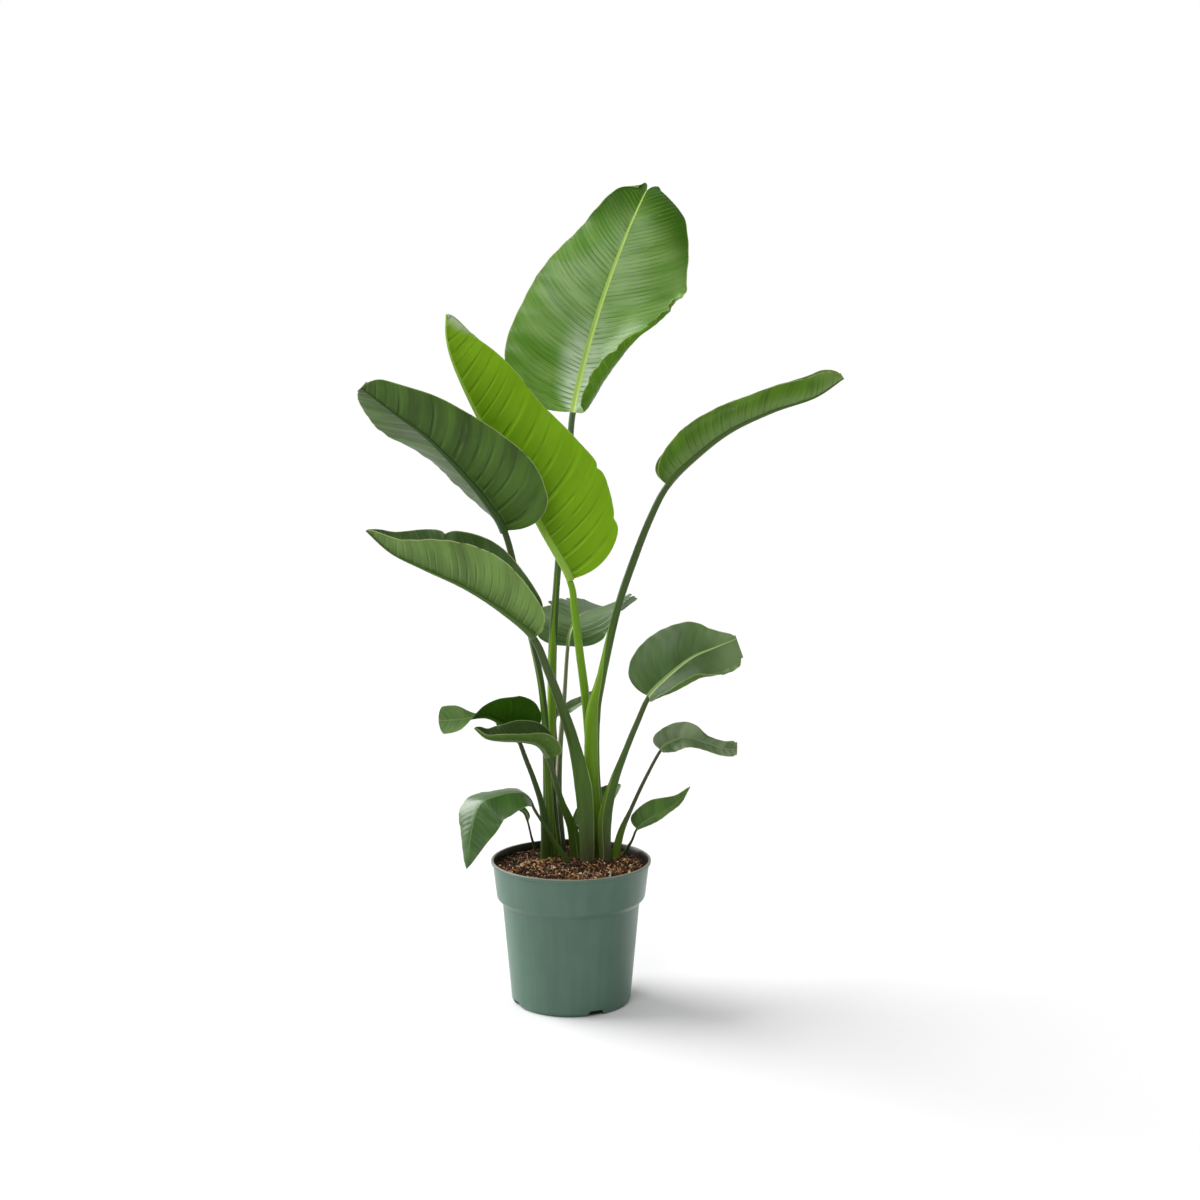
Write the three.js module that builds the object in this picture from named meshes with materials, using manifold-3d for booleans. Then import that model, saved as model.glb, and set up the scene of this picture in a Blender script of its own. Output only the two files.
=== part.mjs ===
// Potted bird of paradise: fifteen paddle-shaped leaves on long stalks that rise as one
// clump from the soil of a round green grow pot with a stepped collar and drain notches.
// Millimetres, +Z up. The origin is the centre of the pot's underside, +X is to the right
// and -Y towards the viewer.
import * as THREE from 'three';
import { mergeVertices } from 'three/addons/utils/BufferGeometryUtils.js';
import Module from 'manifold-3d';

const wasm = await Module();
wasm.setup();

// ---- Driving dimensions ----
const GAP = 0.3; // clearance between pieces that touch

const POT_HEIGHT = 230;
const POT_LIP_RADIUS = 127;
const POT_BASE_RADIUS = 95;
const POT_BODY_TOP_RADIUS = 109;
const POT_COLLAR_FOOT_RADIUS = 118;
const POT_COLLAR_TOP_RADIUS = 124;
const POT_COLLAR_FOOT_HEIGHT = 173;
const POT_LEDGE_DROP = 11;
const POT_LIP_DEPTH = 6;
const POT_WALL = 2.6;
const POT_FLOOR = 3;
const POT_SEGMENTS = 48;

const NOTCH_COUNT = 4;
const NOTCH_FIRST_ANGLE = -65; // degrees from +X
const NOTCH_FOOT_WIDTH = 34;
const NOTCH_TOP_WIDTH = 20;
const NOTCH_HEIGHT = 9;
const NOTCH_REACH = 20; // along the radius, from inside the wall to outside it

const SOIL_LEVEL = 218;
const SOIL_RELIEF = 1.6;
const CHIP_COUNT = 44;
const CHIP_LENGTH = 9;
const STALK_DEPTH = 42; // how far a stalk goes down into the soil
const FOOT_CROWDING = 1.15; // above 1, a stalk's rings lie closer near its foot

const BLADE_THICKNESS = 0.9;
const BASE_ROUNDING = 0.1; // share of a blade's length over which its base rounds out
const TIP_ROUNDING = 0.06;
const ROW_CROWDING = 0.13; // how much closer a blade's rows lie near its base and tip
const RIB_SINK = 1.5; // depth of the midrib's keel, in rib radii
const RIB_TAPER = 0.85; // share of its radius that the midrib loses by the tip
const LEAST_MARGIN = 0.4; // least width of the blade beside the midrib

// ---- Leaves ----
// foot: where the stalk leaves the soil (x, y). path: points of the stalk above it.
// rib: points of the midrib from the joint with the stalk to the tip.
// wide, deep: half sizes of the stalk from foot to joint. ribRadius: midrib at the joint.
// half: half-widths of the blade at even steps from base to tip, right then left, seen from
// its upper side. faces: which way the upper side looks, from base to tip. fold: how far each
// half is folded up from flat, in degrees; curl: how far it bends further up by its margin.
// wave: height, count and start of the ripples along the margin. lobe: how far each half
// reaches back past the joint. notch: how far the halves reach past the midrib's tip.
// blunt: how much of its width a half keeps at the tip.
const LEAVES = [
  {
    name: 'crown', size: 'large', color: 0x5f9a3f,
    foot: [-23, 66],
    path: [[-32, 66, 310], [-32, 68, 410], [-30, 70, 555], [-24, 74, 650], [-16, 80, 745], [-3, 90, 865]],
    wide: [9, 8, 7.5, 7, 5.5, 5.5, 5, 5], deep: [9, 8, 7.5, 7, 5.5, 5.5, 5, 5],
    rib: [[3, 96, 933], [25, 102, 1028], [54, 111, 1122], [86, 124, 1207], [111, 140, 1265], [123, 166, 1290]],
    ribRadius: 5,
    half: [[70, 114, 121, 124, 98, 30], [95, 130, 122, 97, 64, 22]],
    faces: [[-0.15, -1, 0.15], [-0.05, -1, 0.25], [-0.05, -0.9, 0.6]],
    fold: [[15, 6, 10, 8, 6, 8, 10], [8, 6, 4, 0]],
    curl: [[110, 120, 75, 10, -20, -40, -60], [-10, -15, -25, -60]],
    wave: [5, 2.5, 0.4], lobe: [10, 22], notch: 9, blunt: 0.5,
  },
  {
    name: 'young', size: 'large', color: 0x86b82e,
    foot: [42, 76],
    path: [[38, 76, 307], [30, 74, 390], [24, 68, 474], [16, 54, 550], [6, 38, 620]],
    wide: [9, 8, 7.5, 7, 6.5, 6, 5], deep: [9, 8, 7.5, 7, 6.5, 6, 5],
    rib: [[2, 24, 673], [-42, 19, 747], [-88, 15, 831], [-137, 12, 917], [-178, 8, 1005], [-192, 4, 1081]],
    ribRadius: 5,
    half: [[86, 100, 96, 88, 66, 24], [88, 111, 125, 112, 96, 84, 58, 18]],
    faces: [[0.95, 0.25, 0.35], [0.95, 0.2, 0.3], [0.9, 0.2, 0.3]],
    fold: [[84, 82, 76], [68, 68, 64]], curl: [[16, 18, 20], [16, 22, 26]],
    wave: [4, 2.2, 0.2], lobe: [10, 10],
  },
  {
    name: 'left_high', size: 'large', color: 0x3f6e38,
    foot: [-35, 50],
    path: [[-38, 49, 314], [-40, 42, 413], [-47, 26, 505], [-64, 6, 597], [-83, -10, 681]],
    wide: [8, 7.5, 6, 5.5, 5.5, 5, 5], deep: [8, 7.5, 6, 5.5, 5.5, 5, 5],
    rib: [[-101, -25, 754], [-126, -30, 797], [-164, -38, 845], [-217, -50, 901], [-266, -62, 939], [-314, -74, 977]],
    ribRadius: 5,
    half: [[35, 65, 85, 92, 82, 34], [72, 95, 86, 68, 51, 26]],
    faces: [[0.35, 0.85, 0.5], [0.3, 0.8, 0.6], [0.2, 0.8, 0.6]],
    fold: [[36, 26, 20], [8, 10, 5]], curl: [[10, 5, 0], [30, 35, 25]],
    wave: [3, 2, 0.9], lobe: [0, 24], blunt: 0.5,
  },
  {
    name: 'left_low', size: 'large', color: 0x4f7f3c,
    foot: [27, 18],
    path: [[25, 17, 281], [20, 15, 346], [4, 5, 418], [-17, -8, 485], [-37, -38, 545]],
    wide: [12, 14, 15, 9.5, 7.5, 6.5, 5.5], deep: [9, 10, 10, 8.5, 7.5, 6.5, 5.5],
    rib: [[-57, -70, 596], [-102, -82, 638], [-157, -95, 676], [-219, -108, 707], [-267, -120, 733], [-303, -130, 767]],
    ribRadius: 5,
    half: [[36, 64, 82, 72, 46, 8], [34, 60, 79, 67, 43, 9]],
    faces: [[0.5, 0, 0.9], [0.35, 0, 0.95], [0.2, 0, 1]],
    fold: [[55, 55, 40], [45, 45, 35]], curl: [[35, 30, 20], [30, 30, 20]],
    wave: [5, 2, 0.9], lobe: [0, 2],
  },
  {
    name: 'right_high', size: 'large', color: 0x4a7a35,
    foot: [46, 53],
    path: [
      [40, 52, 280], [33, 50, 363], [35, 46, 453], [49, 42, 519],
      [73, 35, 624], [99, 30, 704], [127, 24, 776],
    ],
    wide: [12, 13, 13, 12, 7.5, 6, 6, 5.5, 5], deep: [8, 8, 8, 8, 7.5, 6, 6, 5.5, 5],
    rib: [[152, 20, 823], [190, 12, 863], [246, 4, 907], [313, -4, 939], [376, -12, 961], [419, -20, 990]],
    ribRadius: 5,
    half: [[30, 45, 44, 38, 36, 28], [34, 44, 42, 38, 36, 28]],
    faces: [[-0.6, 0.1, 0.8], [-0.4, 0.1, 0.9], [-0.2, 0, 0.9]],
    fold: [[30, 40, 20], [40, 40, 30]], curl: [[90, 80, 60], [90, 80, 60]],
    wave: [3, 2, 0.9], lobe: [8, 18], blunt: 0.4,
  },
  {
    name: 'back', size: 'large', color: 0x55803f,
    foot: [-15, 88],
    path: [[-21, 88, 304], [-19, 90, 387], [-12, 94, 470]],
    wide: [6, 5.5, 4.5, 3.5, 3], deep: [6, 5.5, 4.5, 3.5, 3],
    rib: [[-6, 100, 556], [1, 118, 593], [16, 158, 613], [46, 212, 614], [83, 262, 595]],
    ribRadius: 3,
    half: [[50, 72, 80, 75, 60, 40], [48, 60, 68, 66, 48, 20]],
    faces: [[0, -0.8, 0.6], [0, -0.5, 0.85], [0.2, 0.3, 0.95]],
    fold: [[15, 10, 5], [-15, -15, -5]], curl: [[-20, -30, -30], [-30, -30, -10]],
    wave: [4, 3, 0.2], lobe: [4, 8],
  },
  {
    name: 'right_mid', size: 'medium', color: 0x47743a,
    foot: [54, 30],
    path: [[53, 29, 286], [67, 22, 348], [87, 10, 404], [105, 0, 451]],
    wide: [10, 12, 8, 5, 4.5, 4], deep: [7, 7, 7, 5, 4.5, 4],
    rib: [[123, -10, 493], [152, -18, 526], [189, -28, 558], [223, -38, 575], [257, -46, 591]],
    ribRadius: 4,
    half: [[26, 38, 44, 46, 48, 30], [44, 71, 78, 62, 34, 8]],
    faces: [[-0.45, -0.85, 0.45], [-0.3, -0.85, 0.5], [0.2, -0.85, 0.5]],
    fold: [[10, 0, 0], [5, 5, 0]], curl: [[60, 30, -10], [-15, -20, -30]],
    wave: [3, 2, 0.3], lobe: [14, 26],
  },
  {
    name: 'right_low', size: 'medium', color: 0x527f45,
    foot: [70, 43],
    path: [[79, 40, 262], [95, 34, 301], [117, 28, 351]],
    wide: [8, 6, 3.2, 2.8, 2.4], deep: [5, 5, 3.2, 2.8, 2.4],
    rib: [[143, 20, 402], [160, 14, 416], [185, 6, 424], [216, 0, 416], [241, -4, 409], [262, -8, 409]],
    ribRadius: 2.4,
    half: [[14, 22, 20, 14, 12, 8], [18, 29, 27, 15, 12, 10]],
    faces: [[-0.3, -0.9, 0.5], [-0.1, -0.8, 0.6], [0.1, -0.9, 0.3]],
    fold: [[20, 10, 0], [20, 40, 10]], curl: [[20, 0, 0], [40, 30, 0]],
    wave: [2, 2, 0.3], lobe: [3, 5],
  },
  {
    name: 'right_small', size: 'small', color: 0x4d7f34,
    foot: [86, 64],
    path: [[98, 60, 245]],
    wide: [3.5, 2, 1.8], deep: [3.5, 2, 1.8],
    rib: [[106, 50, 266], [125, 46, 283], [149, 42, 297], [173, 38, 315], [190, 34, 339]],
    ribRadius: 1.8,
    half: [[6, 11, 12, 9, 5, 1], [18, 24, 25, 18, 9, 1]],
    faces: [[-0.3, -0.8, 0.5]],
    fold: [[10], [15]], curl: [[10], [20]],
    wave: [1.5, 2, 0.3], lobe: [1, 4],
  },
  {
    name: 'left_twisted', size: 'medium', color: 0x3f7a2a,
    foot: [-43, 34],
    path: [[-42, 32, 269], [-47, 27, 311], [-60, 16, 357], [-71, 10, 388]],
    wide: [7, 7, 5, 4.2, 3.8, 3.4], deep: [5, 5, 4.8, 4.2, 3.8, 3.4],
    rib: [[-82, 6, 419], [-93, 0, 435], [-110, -4, 450], [-133, -6, 460], [-168, -8, 457], [-207, -10, 455]],
    ribRadius: 3.4,
    half: [[20, 22, 11, 8, 22, 23], [46, 58, 40, 13, 20, 22]],
    faces: [[0.1, 1, 0.2], [0.1, 1, 0.4], [0, 0.5, 1], [-0.1, -0.9, 0.4], [-0.1, -0.9, 0.2]],
    fold: [[10, 20, 10], [10, 20, 0]], curl: [[20, 20, 10], [20, 20, 10]],
    wave: [2, 2, 0.3], lobe: [6, 6],
  },
  {
    name: 'left_folded', size: 'medium', color: 0x4a7d33,
    foot: [9, 49],
    path: [[1, 40, 270], [-16, 16, 322], [-27, -6, 367]],
    wide: [12, 8, 5, 4, 3.5], deep: [7, 6, 5, 4, 3.5],
    rib: [[-37, -20, 399], [-51, -30, 420], [-76, -38, 428], [-106, -44, 430], [-131, -48, 435], [-149, -50, 451]],
    ribRadius: 3.5,
    half: [[20, 32, 32, 26, 18, 6], [18, 30, 30, 28, 20, 6]],
    faces: [[0.4, 0, 0.9], [0.1, 0, 1], [0, 0, 1]],
    fold: [[20, 30, 30], [40, 10, 10]], curl: [[20, 20, 20], [20, 20, 20]],
    wave: [2, 2, 0.3], lobe: [2, 10],
  },
  {
    name: 'left_hanging', size: 'medium', color: 0x5a9440,
    foot: [-5, 12],
    path: [[-24, 8, 252], [-43, -4, 287], [-57, -12, 312]],
    wide: [5, 3.6, 2.6, 2.4, 2.2], deep: [5, 3.6, 2.6, 2.4, 2.2],
    rib: [[-66, -20, 333], [-83, -30, 344], [-113, -44, 342], [-141, -56, 331], [-153, -66, 293], [-161, -72, 233]],
    ribRadius: 2.2,
    half: [[24, 34, 40, 36, 20, 2], [20, 28, 34, 32, 18, 2]],
    faces: [[0.1, -0.3, 0.95], [-0.2, -0.5, 0.8], [-0.5, -0.85, 0.1]],
    fold: [[-10, -10, 0], [0, -10, -10]], curl: [[-20, -20, -20], [-20, -20, -20]],
    wave: [2, 2, 0.3], lobe: [4, 10],
  },
  {
    name: 'left_tiny', size: 'small', color: 0x5c8a3a,
    foot: [-60, 86],
    path: [[-66, 82, 246]],
    wide: [2.5, 1.8, 1.6], deep: [2.5, 1.8, 1.6],
    rib: [[-72, 75, 274], [-79, 70, 289], [-93, 64, 295], [-110, 58, 292]],
    ribRadius: 1.6,
    half: [[5, 8, 9, 7, 4, 1], [5, 8, 9, 7, 4, 1]],
    faces: [[0, -0.3, 0.95]],
    fold: [[30], [30]], curl: [[10], [10]],
    wave: [0.5, 2, 0.3], lobe: [1, 1],
  },
  {
    name: 'back_small', size: 'small', color: 0x6c9158,
    foot: [-20, 104],
    path: [[-20, 111, 298], [-24, 118, 373]],
    wide: [4, 3.2, 2.6, 2.2], deep: [4, 3.2, 2.6, 2.2],
    rib: [[-26, 120, 437], [-3, 118, 451], [20, 116, 465], [46, 114, 485]],
    ribRadius: 2.2,
    half: [[5, 9, 10, 8, 5, 1], [5, 9, 10, 8, 5, 1]],
    faces: [[0.3, -0.7, 0.6]],
    fold: [[20], [20]], curl: [[10], [10]],
    wave: [1, 2, 0.3], lobe: [1, 1],
  },
  {
    name: 'back_sprout', size: 'small', color: 0x44702c,
    foot: [14, 94],
    path: [[8, 92, 237]],
    wide: [5, 4, 3.5], deep: [5, 4, 3.5],
    rib: [[9, 91, 261], [30, 103, 284], [54, 108, 304], [80, 110, 325]],
    ribRadius: 3,
    half: [[10, 17, 20, 19, 14, 4], [10, 17, 20, 19, 14, 4]],
    faces: [[-0.3, -0.8, 0.5]],
    fold: [[10], [10]], curl: [[10], [10]],
    wave: [1, 2, 0.3], lobe: [1, 1],
  },
];

// Rows along a blade, strips across each half, rings along a stalk and sides round it.
const FINENESS = {
  large: { rows: 17, strips: 5, rings: 14, sides: 10 },
  medium: { rows: 13, strips: 4, rings: 9, sides: 8 },
  small: { rows: 10, strips: 3, rings: 6, sides: 8 },
};

// ---- Small helpers ----
const radians = THREE.MathUtils.degToRad;
const clamp = THREE.MathUtils.clamp;

// Smooth (Catmull-Rom) run through evenly spaced values, at share u of its length.
function run(values, u) {
  if (values.length === 1) return values[0];
  const last = values.length - 1;
  const position = clamp(u, 0, 1) * last;
  const i = Math.min(Math.floor(position), last - 1);
  const f = position - i;
  const b = values[i];
  const c = values[i + 1];
  const a = i > 0 ? values[i - 1] : 2 * b - c;
  const d = i + 2 <= last ? values[i + 2] : 2 * c - b;
  const cubic = 3 * b - a - 3 * c + d;
  return 0.5 * (2 * b + (c - a) * f + (2 * a - 5 * b + 4 * c - d) * f * f + cubic * f ** 3);
}

// Straight run through values given at set shares of a length.
function straightRun(values, shares, u) {
  let i = 0;
  while (i < shares.length - 2 && u > shares[i + 1]) i += 1;
  const f = clamp((u - shares[i]) / (shares[i + 1] - shares[i]), 0, 1);
  return values[i] + f * (values[i + 1] - values[i]);
}

// Repeatable random numbers between 0 and 1.
function seededRandom(seed) {
  let state = seed;
  return () => {
    state = (state * 1664525 + 1013904223) % 4294967296;
    return state / 4294967296;
  };
}

// Closed triangle mesh from vertices and index triples, with its faces turned outwards.
function closedMesh(vertices, triangles) {
  let volume = 0;
  for (const [a, b, c] of triangles) {
    volume += vertices[a].dot(new THREE.Vector3().crossVectors(vertices[b], vertices[c]));
  }
  const order = volume < 0 ? triangles.map(([a, b, c]) => [a, c, b]) : triangles;
  const geometry = new THREE.BufferGeometry();
  geometry.setAttribute('position', new THREE.Float32BufferAttribute(vertices.flatMap((v) => v.toArray()), 3));
  geometry.setIndex(order.flat());
  return geometry;
}

// A copy of a geometry with its shared vertices merged.
function weld(geometry) {
  const plain = geometry.clone();
  plain.deleteAttribute('normal');
  plain.deleteAttribute('uv');
  return mergeVertices(plain, 1e-4);
}

// A solid that can be joined and cut.
function toSolid(geometry) {
  const welded = weld(geometry);
  return new wasm.Manifold(new wasm.Mesh({
    numProp: 3,
    vertProperties: new Float32Array(welded.attributes.position.array),
    triVerts: new Uint32Array(welded.index.array),
  }));
}

function fromSolid(solid) {
  const mesh = solid.getMesh();
  const geometry = new THREE.BufferGeometry();
  geometry.setAttribute('position', new THREE.BufferAttribute(mesh.vertProperties, 3));
  geometry.setIndex(new THREE.BufferAttribute(mesh.triVerts, 1));
  return geometry;
}

function paint(name, geometry, color, roughness) {
  geometry.computeVertexNormals();
  const material = new THREE.MeshStandardMaterial({ color, roughness, metalness: 0 });
  const mesh = new THREE.Mesh(geometry, material);
  mesh.name = name;
  return mesh;
}

// Turns a profile of [radius, height] points about the Z axis.
function turned(profile) {
  const points = profile.map(([radius, height]) => new THREE.Vector2(radius, height));
  return new THREE.LatheGeometry(points, POT_SEGMENTS).rotateX(Math.PI / 2);
}

// ---- Pot ----
const LEDGE_HEIGHT = POT_COLLAR_FOOT_HEIGHT - POT_LEDGE_DROP;
const LIP_FOOT_HEIGHT = POT_HEIGHT - POT_LIP_DEPTH;

// Inner face of the pot, from its floor up to its mouth.
const INNER_WALL = [
  [POT_BASE_RADIUS - POT_WALL - 2, POT_FLOOR],
  [POT_BASE_RADIUS - POT_WALL, POT_FLOOR + 3],
  [POT_BODY_TOP_RADIUS - POT_WALL, LEDGE_HEIGHT + 2],
  [POT_COLLAR_FOOT_RADIUS - POT_WALL, POT_COLLAR_FOOT_HEIGHT + 1],
  [POT_COLLAR_TOP_RADIUS - POT_WALL, LIP_FOOT_HEIGHT],
];

function potProfile() {
  return [
    [0, 0],
    [POT_BASE_RADIUS - 4, 0],
    [POT_BASE_RADIUS - 1, 1.5],
    [POT_BASE_RADIUS, 5],
    [POT_BODY_TOP_RADIUS, LEDGE_HEIGHT],
    [POT_COLLAR_FOOT_RADIUS - 2, POT_COLLAR_FOOT_HEIGHT - 3],
    [POT_COLLAR_FOOT_RADIUS, POT_COLLAR_FOOT_HEIGHT],
    [POT_COLLAR_TOP_RADIUS, LIP_FOOT_HEIGHT],
    [POT_LIP_RADIUS, LIP_FOOT_HEIGHT + 1.5],
    [POT_LIP_RADIUS, POT_HEIGHT - 1],
    [POT_LIP_RADIUS - 1, POT_HEIGHT],
    [POT_COLLAR_TOP_RADIUS - 1, POT_HEIGHT],
    ...[...INNER_WALL].reverse(),
    [0, POT_FLOOR],
  ];
}

// Wedge that cuts one drain notch through the foot of the wall.
function notchCutter(angle) {
  const outline = new THREE.Shape();
  outline.moveTo(-NOTCH_FOOT_WIDTH / 2, -1);
  outline.lineTo(NOTCH_FOOT_WIDTH / 2, -1);
  outline.lineTo(NOTCH_TOP_WIDTH / 2, NOTCH_HEIGHT);
  outline.lineTo(-NOTCH_TOP_WIDTH / 2, NOTCH_HEIGHT);
  outline.closePath();
  const cutter = new THREE.ExtrudeGeometry(outline, { depth: NOTCH_REACH, bevelEnabled: false });
  cutter.rotateX(Math.PI / 2);
  cutter.rotateZ(Math.PI / 2);
  cutter.translate(POT_BASE_RADIUS - NOTCH_REACH / 2, 0, 0);
  cutter.rotateZ(angle);
  return cutter;
}

function makePot() {
  let solid = toSolid(turned(potProfile()));
  for (let i = 0; i < NOTCH_COUNT; i += 1) {
    const angle = radians(NOTCH_FIRST_ANGLE + (i * 360) / NOTCH_COUNT);
    solid = solid.subtract(toSolid(notchCutter(angle)));
  }
  return paint('pot', fromSolid(solid), 0x4f7361, 0.5);
}

// ---- Leaf forms ----
// One curve runs from the buried foot of a stalk through the joint to the blade's tip.
function leafCurve(leaf) {
  const [x, y] = leaf.foot;
  const foot = [[x, y, SOIL_LEVEL - STALK_DEPTH], [x, y, SOIL_LEVEL]];
  const points = [...foot, ...leaf.path, ...leaf.rib].map((p) => new THREE.Vector3(...p));
  const curve = new THREE.CatmullRomCurve3(points, false, 'catmullrom', 0.5);
  const stepsPerSpan = 40;
  curve.arcLengthDivisions = (points.length - 1) * stepsPerSpan;
  const lengths = curve.getLengths();
  const total = lengths[lengths.length - 1];
  const shares = points.map((_, i) => lengths[i * stepsPerSpan] / total);
  const joint = foot.length + leaf.path.length;
  return { curve, total, joint: shares[joint], stalkShares: shares.slice(0, joint + 1) };
}

// Directions at share u of the curve: along, the side that faces, and across.
function bladeFrame(leaf, curve, u, v) {
  const along = curve.getTangentAt(u);
  const facing = new THREE.Vector3(
    run(leaf.faces.map((f) => f[0]), v),
    run(leaf.faces.map((f) => f[1]), v),
    run(leaf.faces.map((f) => f[2]), v),
  );
  facing.addScaledVector(along, -facing.dot(along)).normalize();
  const across = new THREE.Vector3().crossVectors(along, facing);
  return { along, facing, across };
}

// A point of one half of a blade, at distance share s from the midrib, and its upward normal.
// The half is an arc that leaves the midrib at the fold angle and turns by the curl.
function halfPoint(leaf, frame, origin, v, s, side, width, widest, rib) {
  const k = side > 0 ? 0 : 1;
  const fold = radians(run(leaf.fold[k], v));
  const curl = radians(run(leaf.curl[k], v)) || 1e-4;
  const angle = fold + curl * s;
  const [height, count, start] = leaf.wave;
  const ripple = height * Math.sin(2 * Math.PI * count * v + start + side * 0.9);
  const lift = ripple * s ** 3 * Math.min(1, (1.5 * width) / widest);
  const out = (width * (Math.sin(angle) - Math.sin(fold))) / curl - lift * Math.sin(angle);
  const up = (width * (Math.cos(fold) - Math.cos(angle))) / curl + lift * Math.cos(angle);
  const beyondRib = Math.max(0, s - rib / width);
  const back = leaf.lobe[k] * (1 - v) ** 3 * beyondRib ** 1.1 * Math.min(1, (1.15 * width) / widest);
  const { notch = 0 } = leaf;
  const shift = notch * v ** 10 * s - back;
  const point = origin.clone();
  point.addScaledVector(frame.across, side * out);
  point.addScaledVector(frame.facing, up);
  point.addScaledVector(frame.along, shift);
  const normal = frame.facing.clone().multiplyScalar(Math.cos(angle));
  normal.addScaledVector(frame.across, -side * Math.sin(angle));
  return { point, normal };
}

// Thin closed blade with its midrib as a keel below. Both faces share one grid.
function bladeGeometry(leaf) {
  const { blunt = 0 } = leaf;
  const { rows, strips } = FINENESS[leaf.size];
  const { curve, joint } = leafCurve(leaf);
  const columns = 2 * strips + 1;
  const upper = [];
  const lower = [];
  for (let i = 0; i < rows; i += 1) {
    const t = i / (rows - 1);
    const v = t - ROW_CROWDING * Math.sin(2 * Math.PI * t);
    const u = joint + v * (1 - joint);
    const frame = bladeFrame(leaf, curve, u, v);
    const rib = leaf.ribRadius * (1 - RIB_TAPER * v);
    const keel = RIB_SINK * rib;
    const origin = curve.getPointAt(u).addScaledVector(frame.facing, (keel + BLADE_THICKNESS) / 2);
    const baseRound = Math.sqrt(1 - (1 - Math.min(v / BASE_ROUNDING, 1)) ** 2);
    const tipRound = Math.max(blunt, Math.sqrt(1 - (1 - Math.min((1 - v) / TIP_ROUNDING, 1)) ** 2));
    for (let j = -strips; j <= strips; j += 1) {
      const side = j < 0 ? -1 : 1;
      const halves = leaf.half[side > 0 ? 0 : 1];
      const width = Math.max(run(halves, v) * baseRound * tipRound, rib + LEAST_MARGIN);
      const distance = j === 0 ? 0 : rib + ((Math.abs(j) - 1) * (width - rib)) / (strips - 1);
      const s = distance / width;
      const { point, normal } = halfPoint(leaf, frame, origin, v, s, side, width, Math.max(...halves), rib);
      const depth = BLADE_THICKNESS + (j === 0 ? keel : 0);
      upper.push(point);
      lower.push(point.clone().addScaledVector(j === 0 ? frame.facing : normal, -depth));
    }
  }
  const count = rows * columns;
  const triangles = [];
  const quad = (a, b, c, d) => triangles.push([a, b, c], [a, c, d]);
  for (let i = 0; i < rows - 1; i += 1) {
    for (let j = 0; j < columns - 1; j += 1) {
      const a = i * columns + j;
      const [b, c, d] = [a + 1, a + columns + 1, a + columns];
      quad(a, b, c, d);
      triangles.push([count + a, count + c, count + b], [count + a, count + d, count + c]);
    }
    for (const j of [0, columns - 1]) {
      const a = i * columns + j;
      const b = a + columns;
      if (j === 0) quad(a, b, count + b, count + a);
      else quad(b, a, count + a, count + b);
    }
  }
  for (let j = 0; j < columns - 1; j += 1) {
    const first = j;
    quad(first + 1, first, count + first, count + first + 1);
    const last = (rows - 1) * columns + j;
    quad(last, last + 1, count + last + 1, count + last);
  }
  return closedMesh([...upper, ...lower], triangles);
}

// Stalk: oval rings along the curve, from the buried foot to just short of the joint.
function stalkGeometry(leaf, growth = 0) {
  const { rings, sides } = FINENESS[leaf.size];
  const { curve, total, joint, stalkShares } = leafCurve(leaf);
  const start = Math.max(0, (-growth) / total);
  const end = joint - GAP / total;
  const wide = [leaf.wide[0], ...leaf.wide];
  const deep = [leaf.deep[0], ...leaf.deep];
  const vertices = [];
  for (let i = 0; i < rings; i += 1) {
    const share = i / (rings - 1);
    const u = start + share ** FOOT_CROWDING * (end - start);
    const along = curve.getTangentAt(u);
    const right = new THREE.Vector3(1, 0, 0);
    right.addScaledVector(along, -right.dot(along)).normalize();
    const away = new THREE.Vector3().crossVectors(along, right);
    const centre = curve.getPointAt(u);
    if (i === 0) centre.z -= growth;
    const halfWide = straightRun(wide, stalkShares, u) + growth;
    const halfDeep = straightRun(deep, stalkShares, u) + growth;
    for (let k = 0; k < sides; k += 1) {
      const angle = (2 * Math.PI * k) / sides;
      const point = centre.clone();
      point.addScaledVector(right, halfWide * Math.cos(angle));
      point.addScaledVector(away, halfDeep * Math.sin(angle));
      vertices.push(point);
    }
  }
  const triangles = [];
  for (let i = 0; i < rings - 1; i += 1) {
    for (let k = 0; k < sides; k += 1) {
      const a = i * sides + k;
      const b = i * sides + ((k + 1) % sides);
      triangles.push([a, b, b + sides], [a, b + sides, a + sides]);
    }
  }
  for (let k = 1; k < sides - 1; k += 1) {
    const top = (rings - 1) * sides;
    triangles.push([0, k + 1, k], [top, top + k, top + k + 1]);
  }
  return closedMesh(vertices, triangles);
}

// ---- Soil ----
// Low lumps of the soil's surface.
function soilRelief(x, y) {
  const waves = Math.sin(x / 9 + 1.3) * Math.cos(y / 8) + Math.sin(x / 15 - y / 11);
  return (SOIL_RELIEF * waves) / 2;
}

function soilProfile() {
  const wall = INNER_WALL.map(([radius, height]) => [radius - GAP, height]);
  const [lastRadius, lastHeight] = wall[wall.length - 1];
  const [footRadius, footHeight] = wall[wall.length - 2];
  const share = (SOIL_LEVEL - footHeight) / (lastHeight - footHeight);
  const edge = footRadius + share * (lastRadius - footRadius);
  const lower = wall.slice(0, -1);
  lower[0][1] = POT_FLOOR + GAP;
  const rings = 7;
  const top = [];
  for (let i = 0; i <= rings; i += 1) {
    top.push([edge * (1 - i / rings), SOIL_LEVEL]);
  }
  return [[0, POT_FLOOR + GAP], ...lower, ...top];
}

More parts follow.
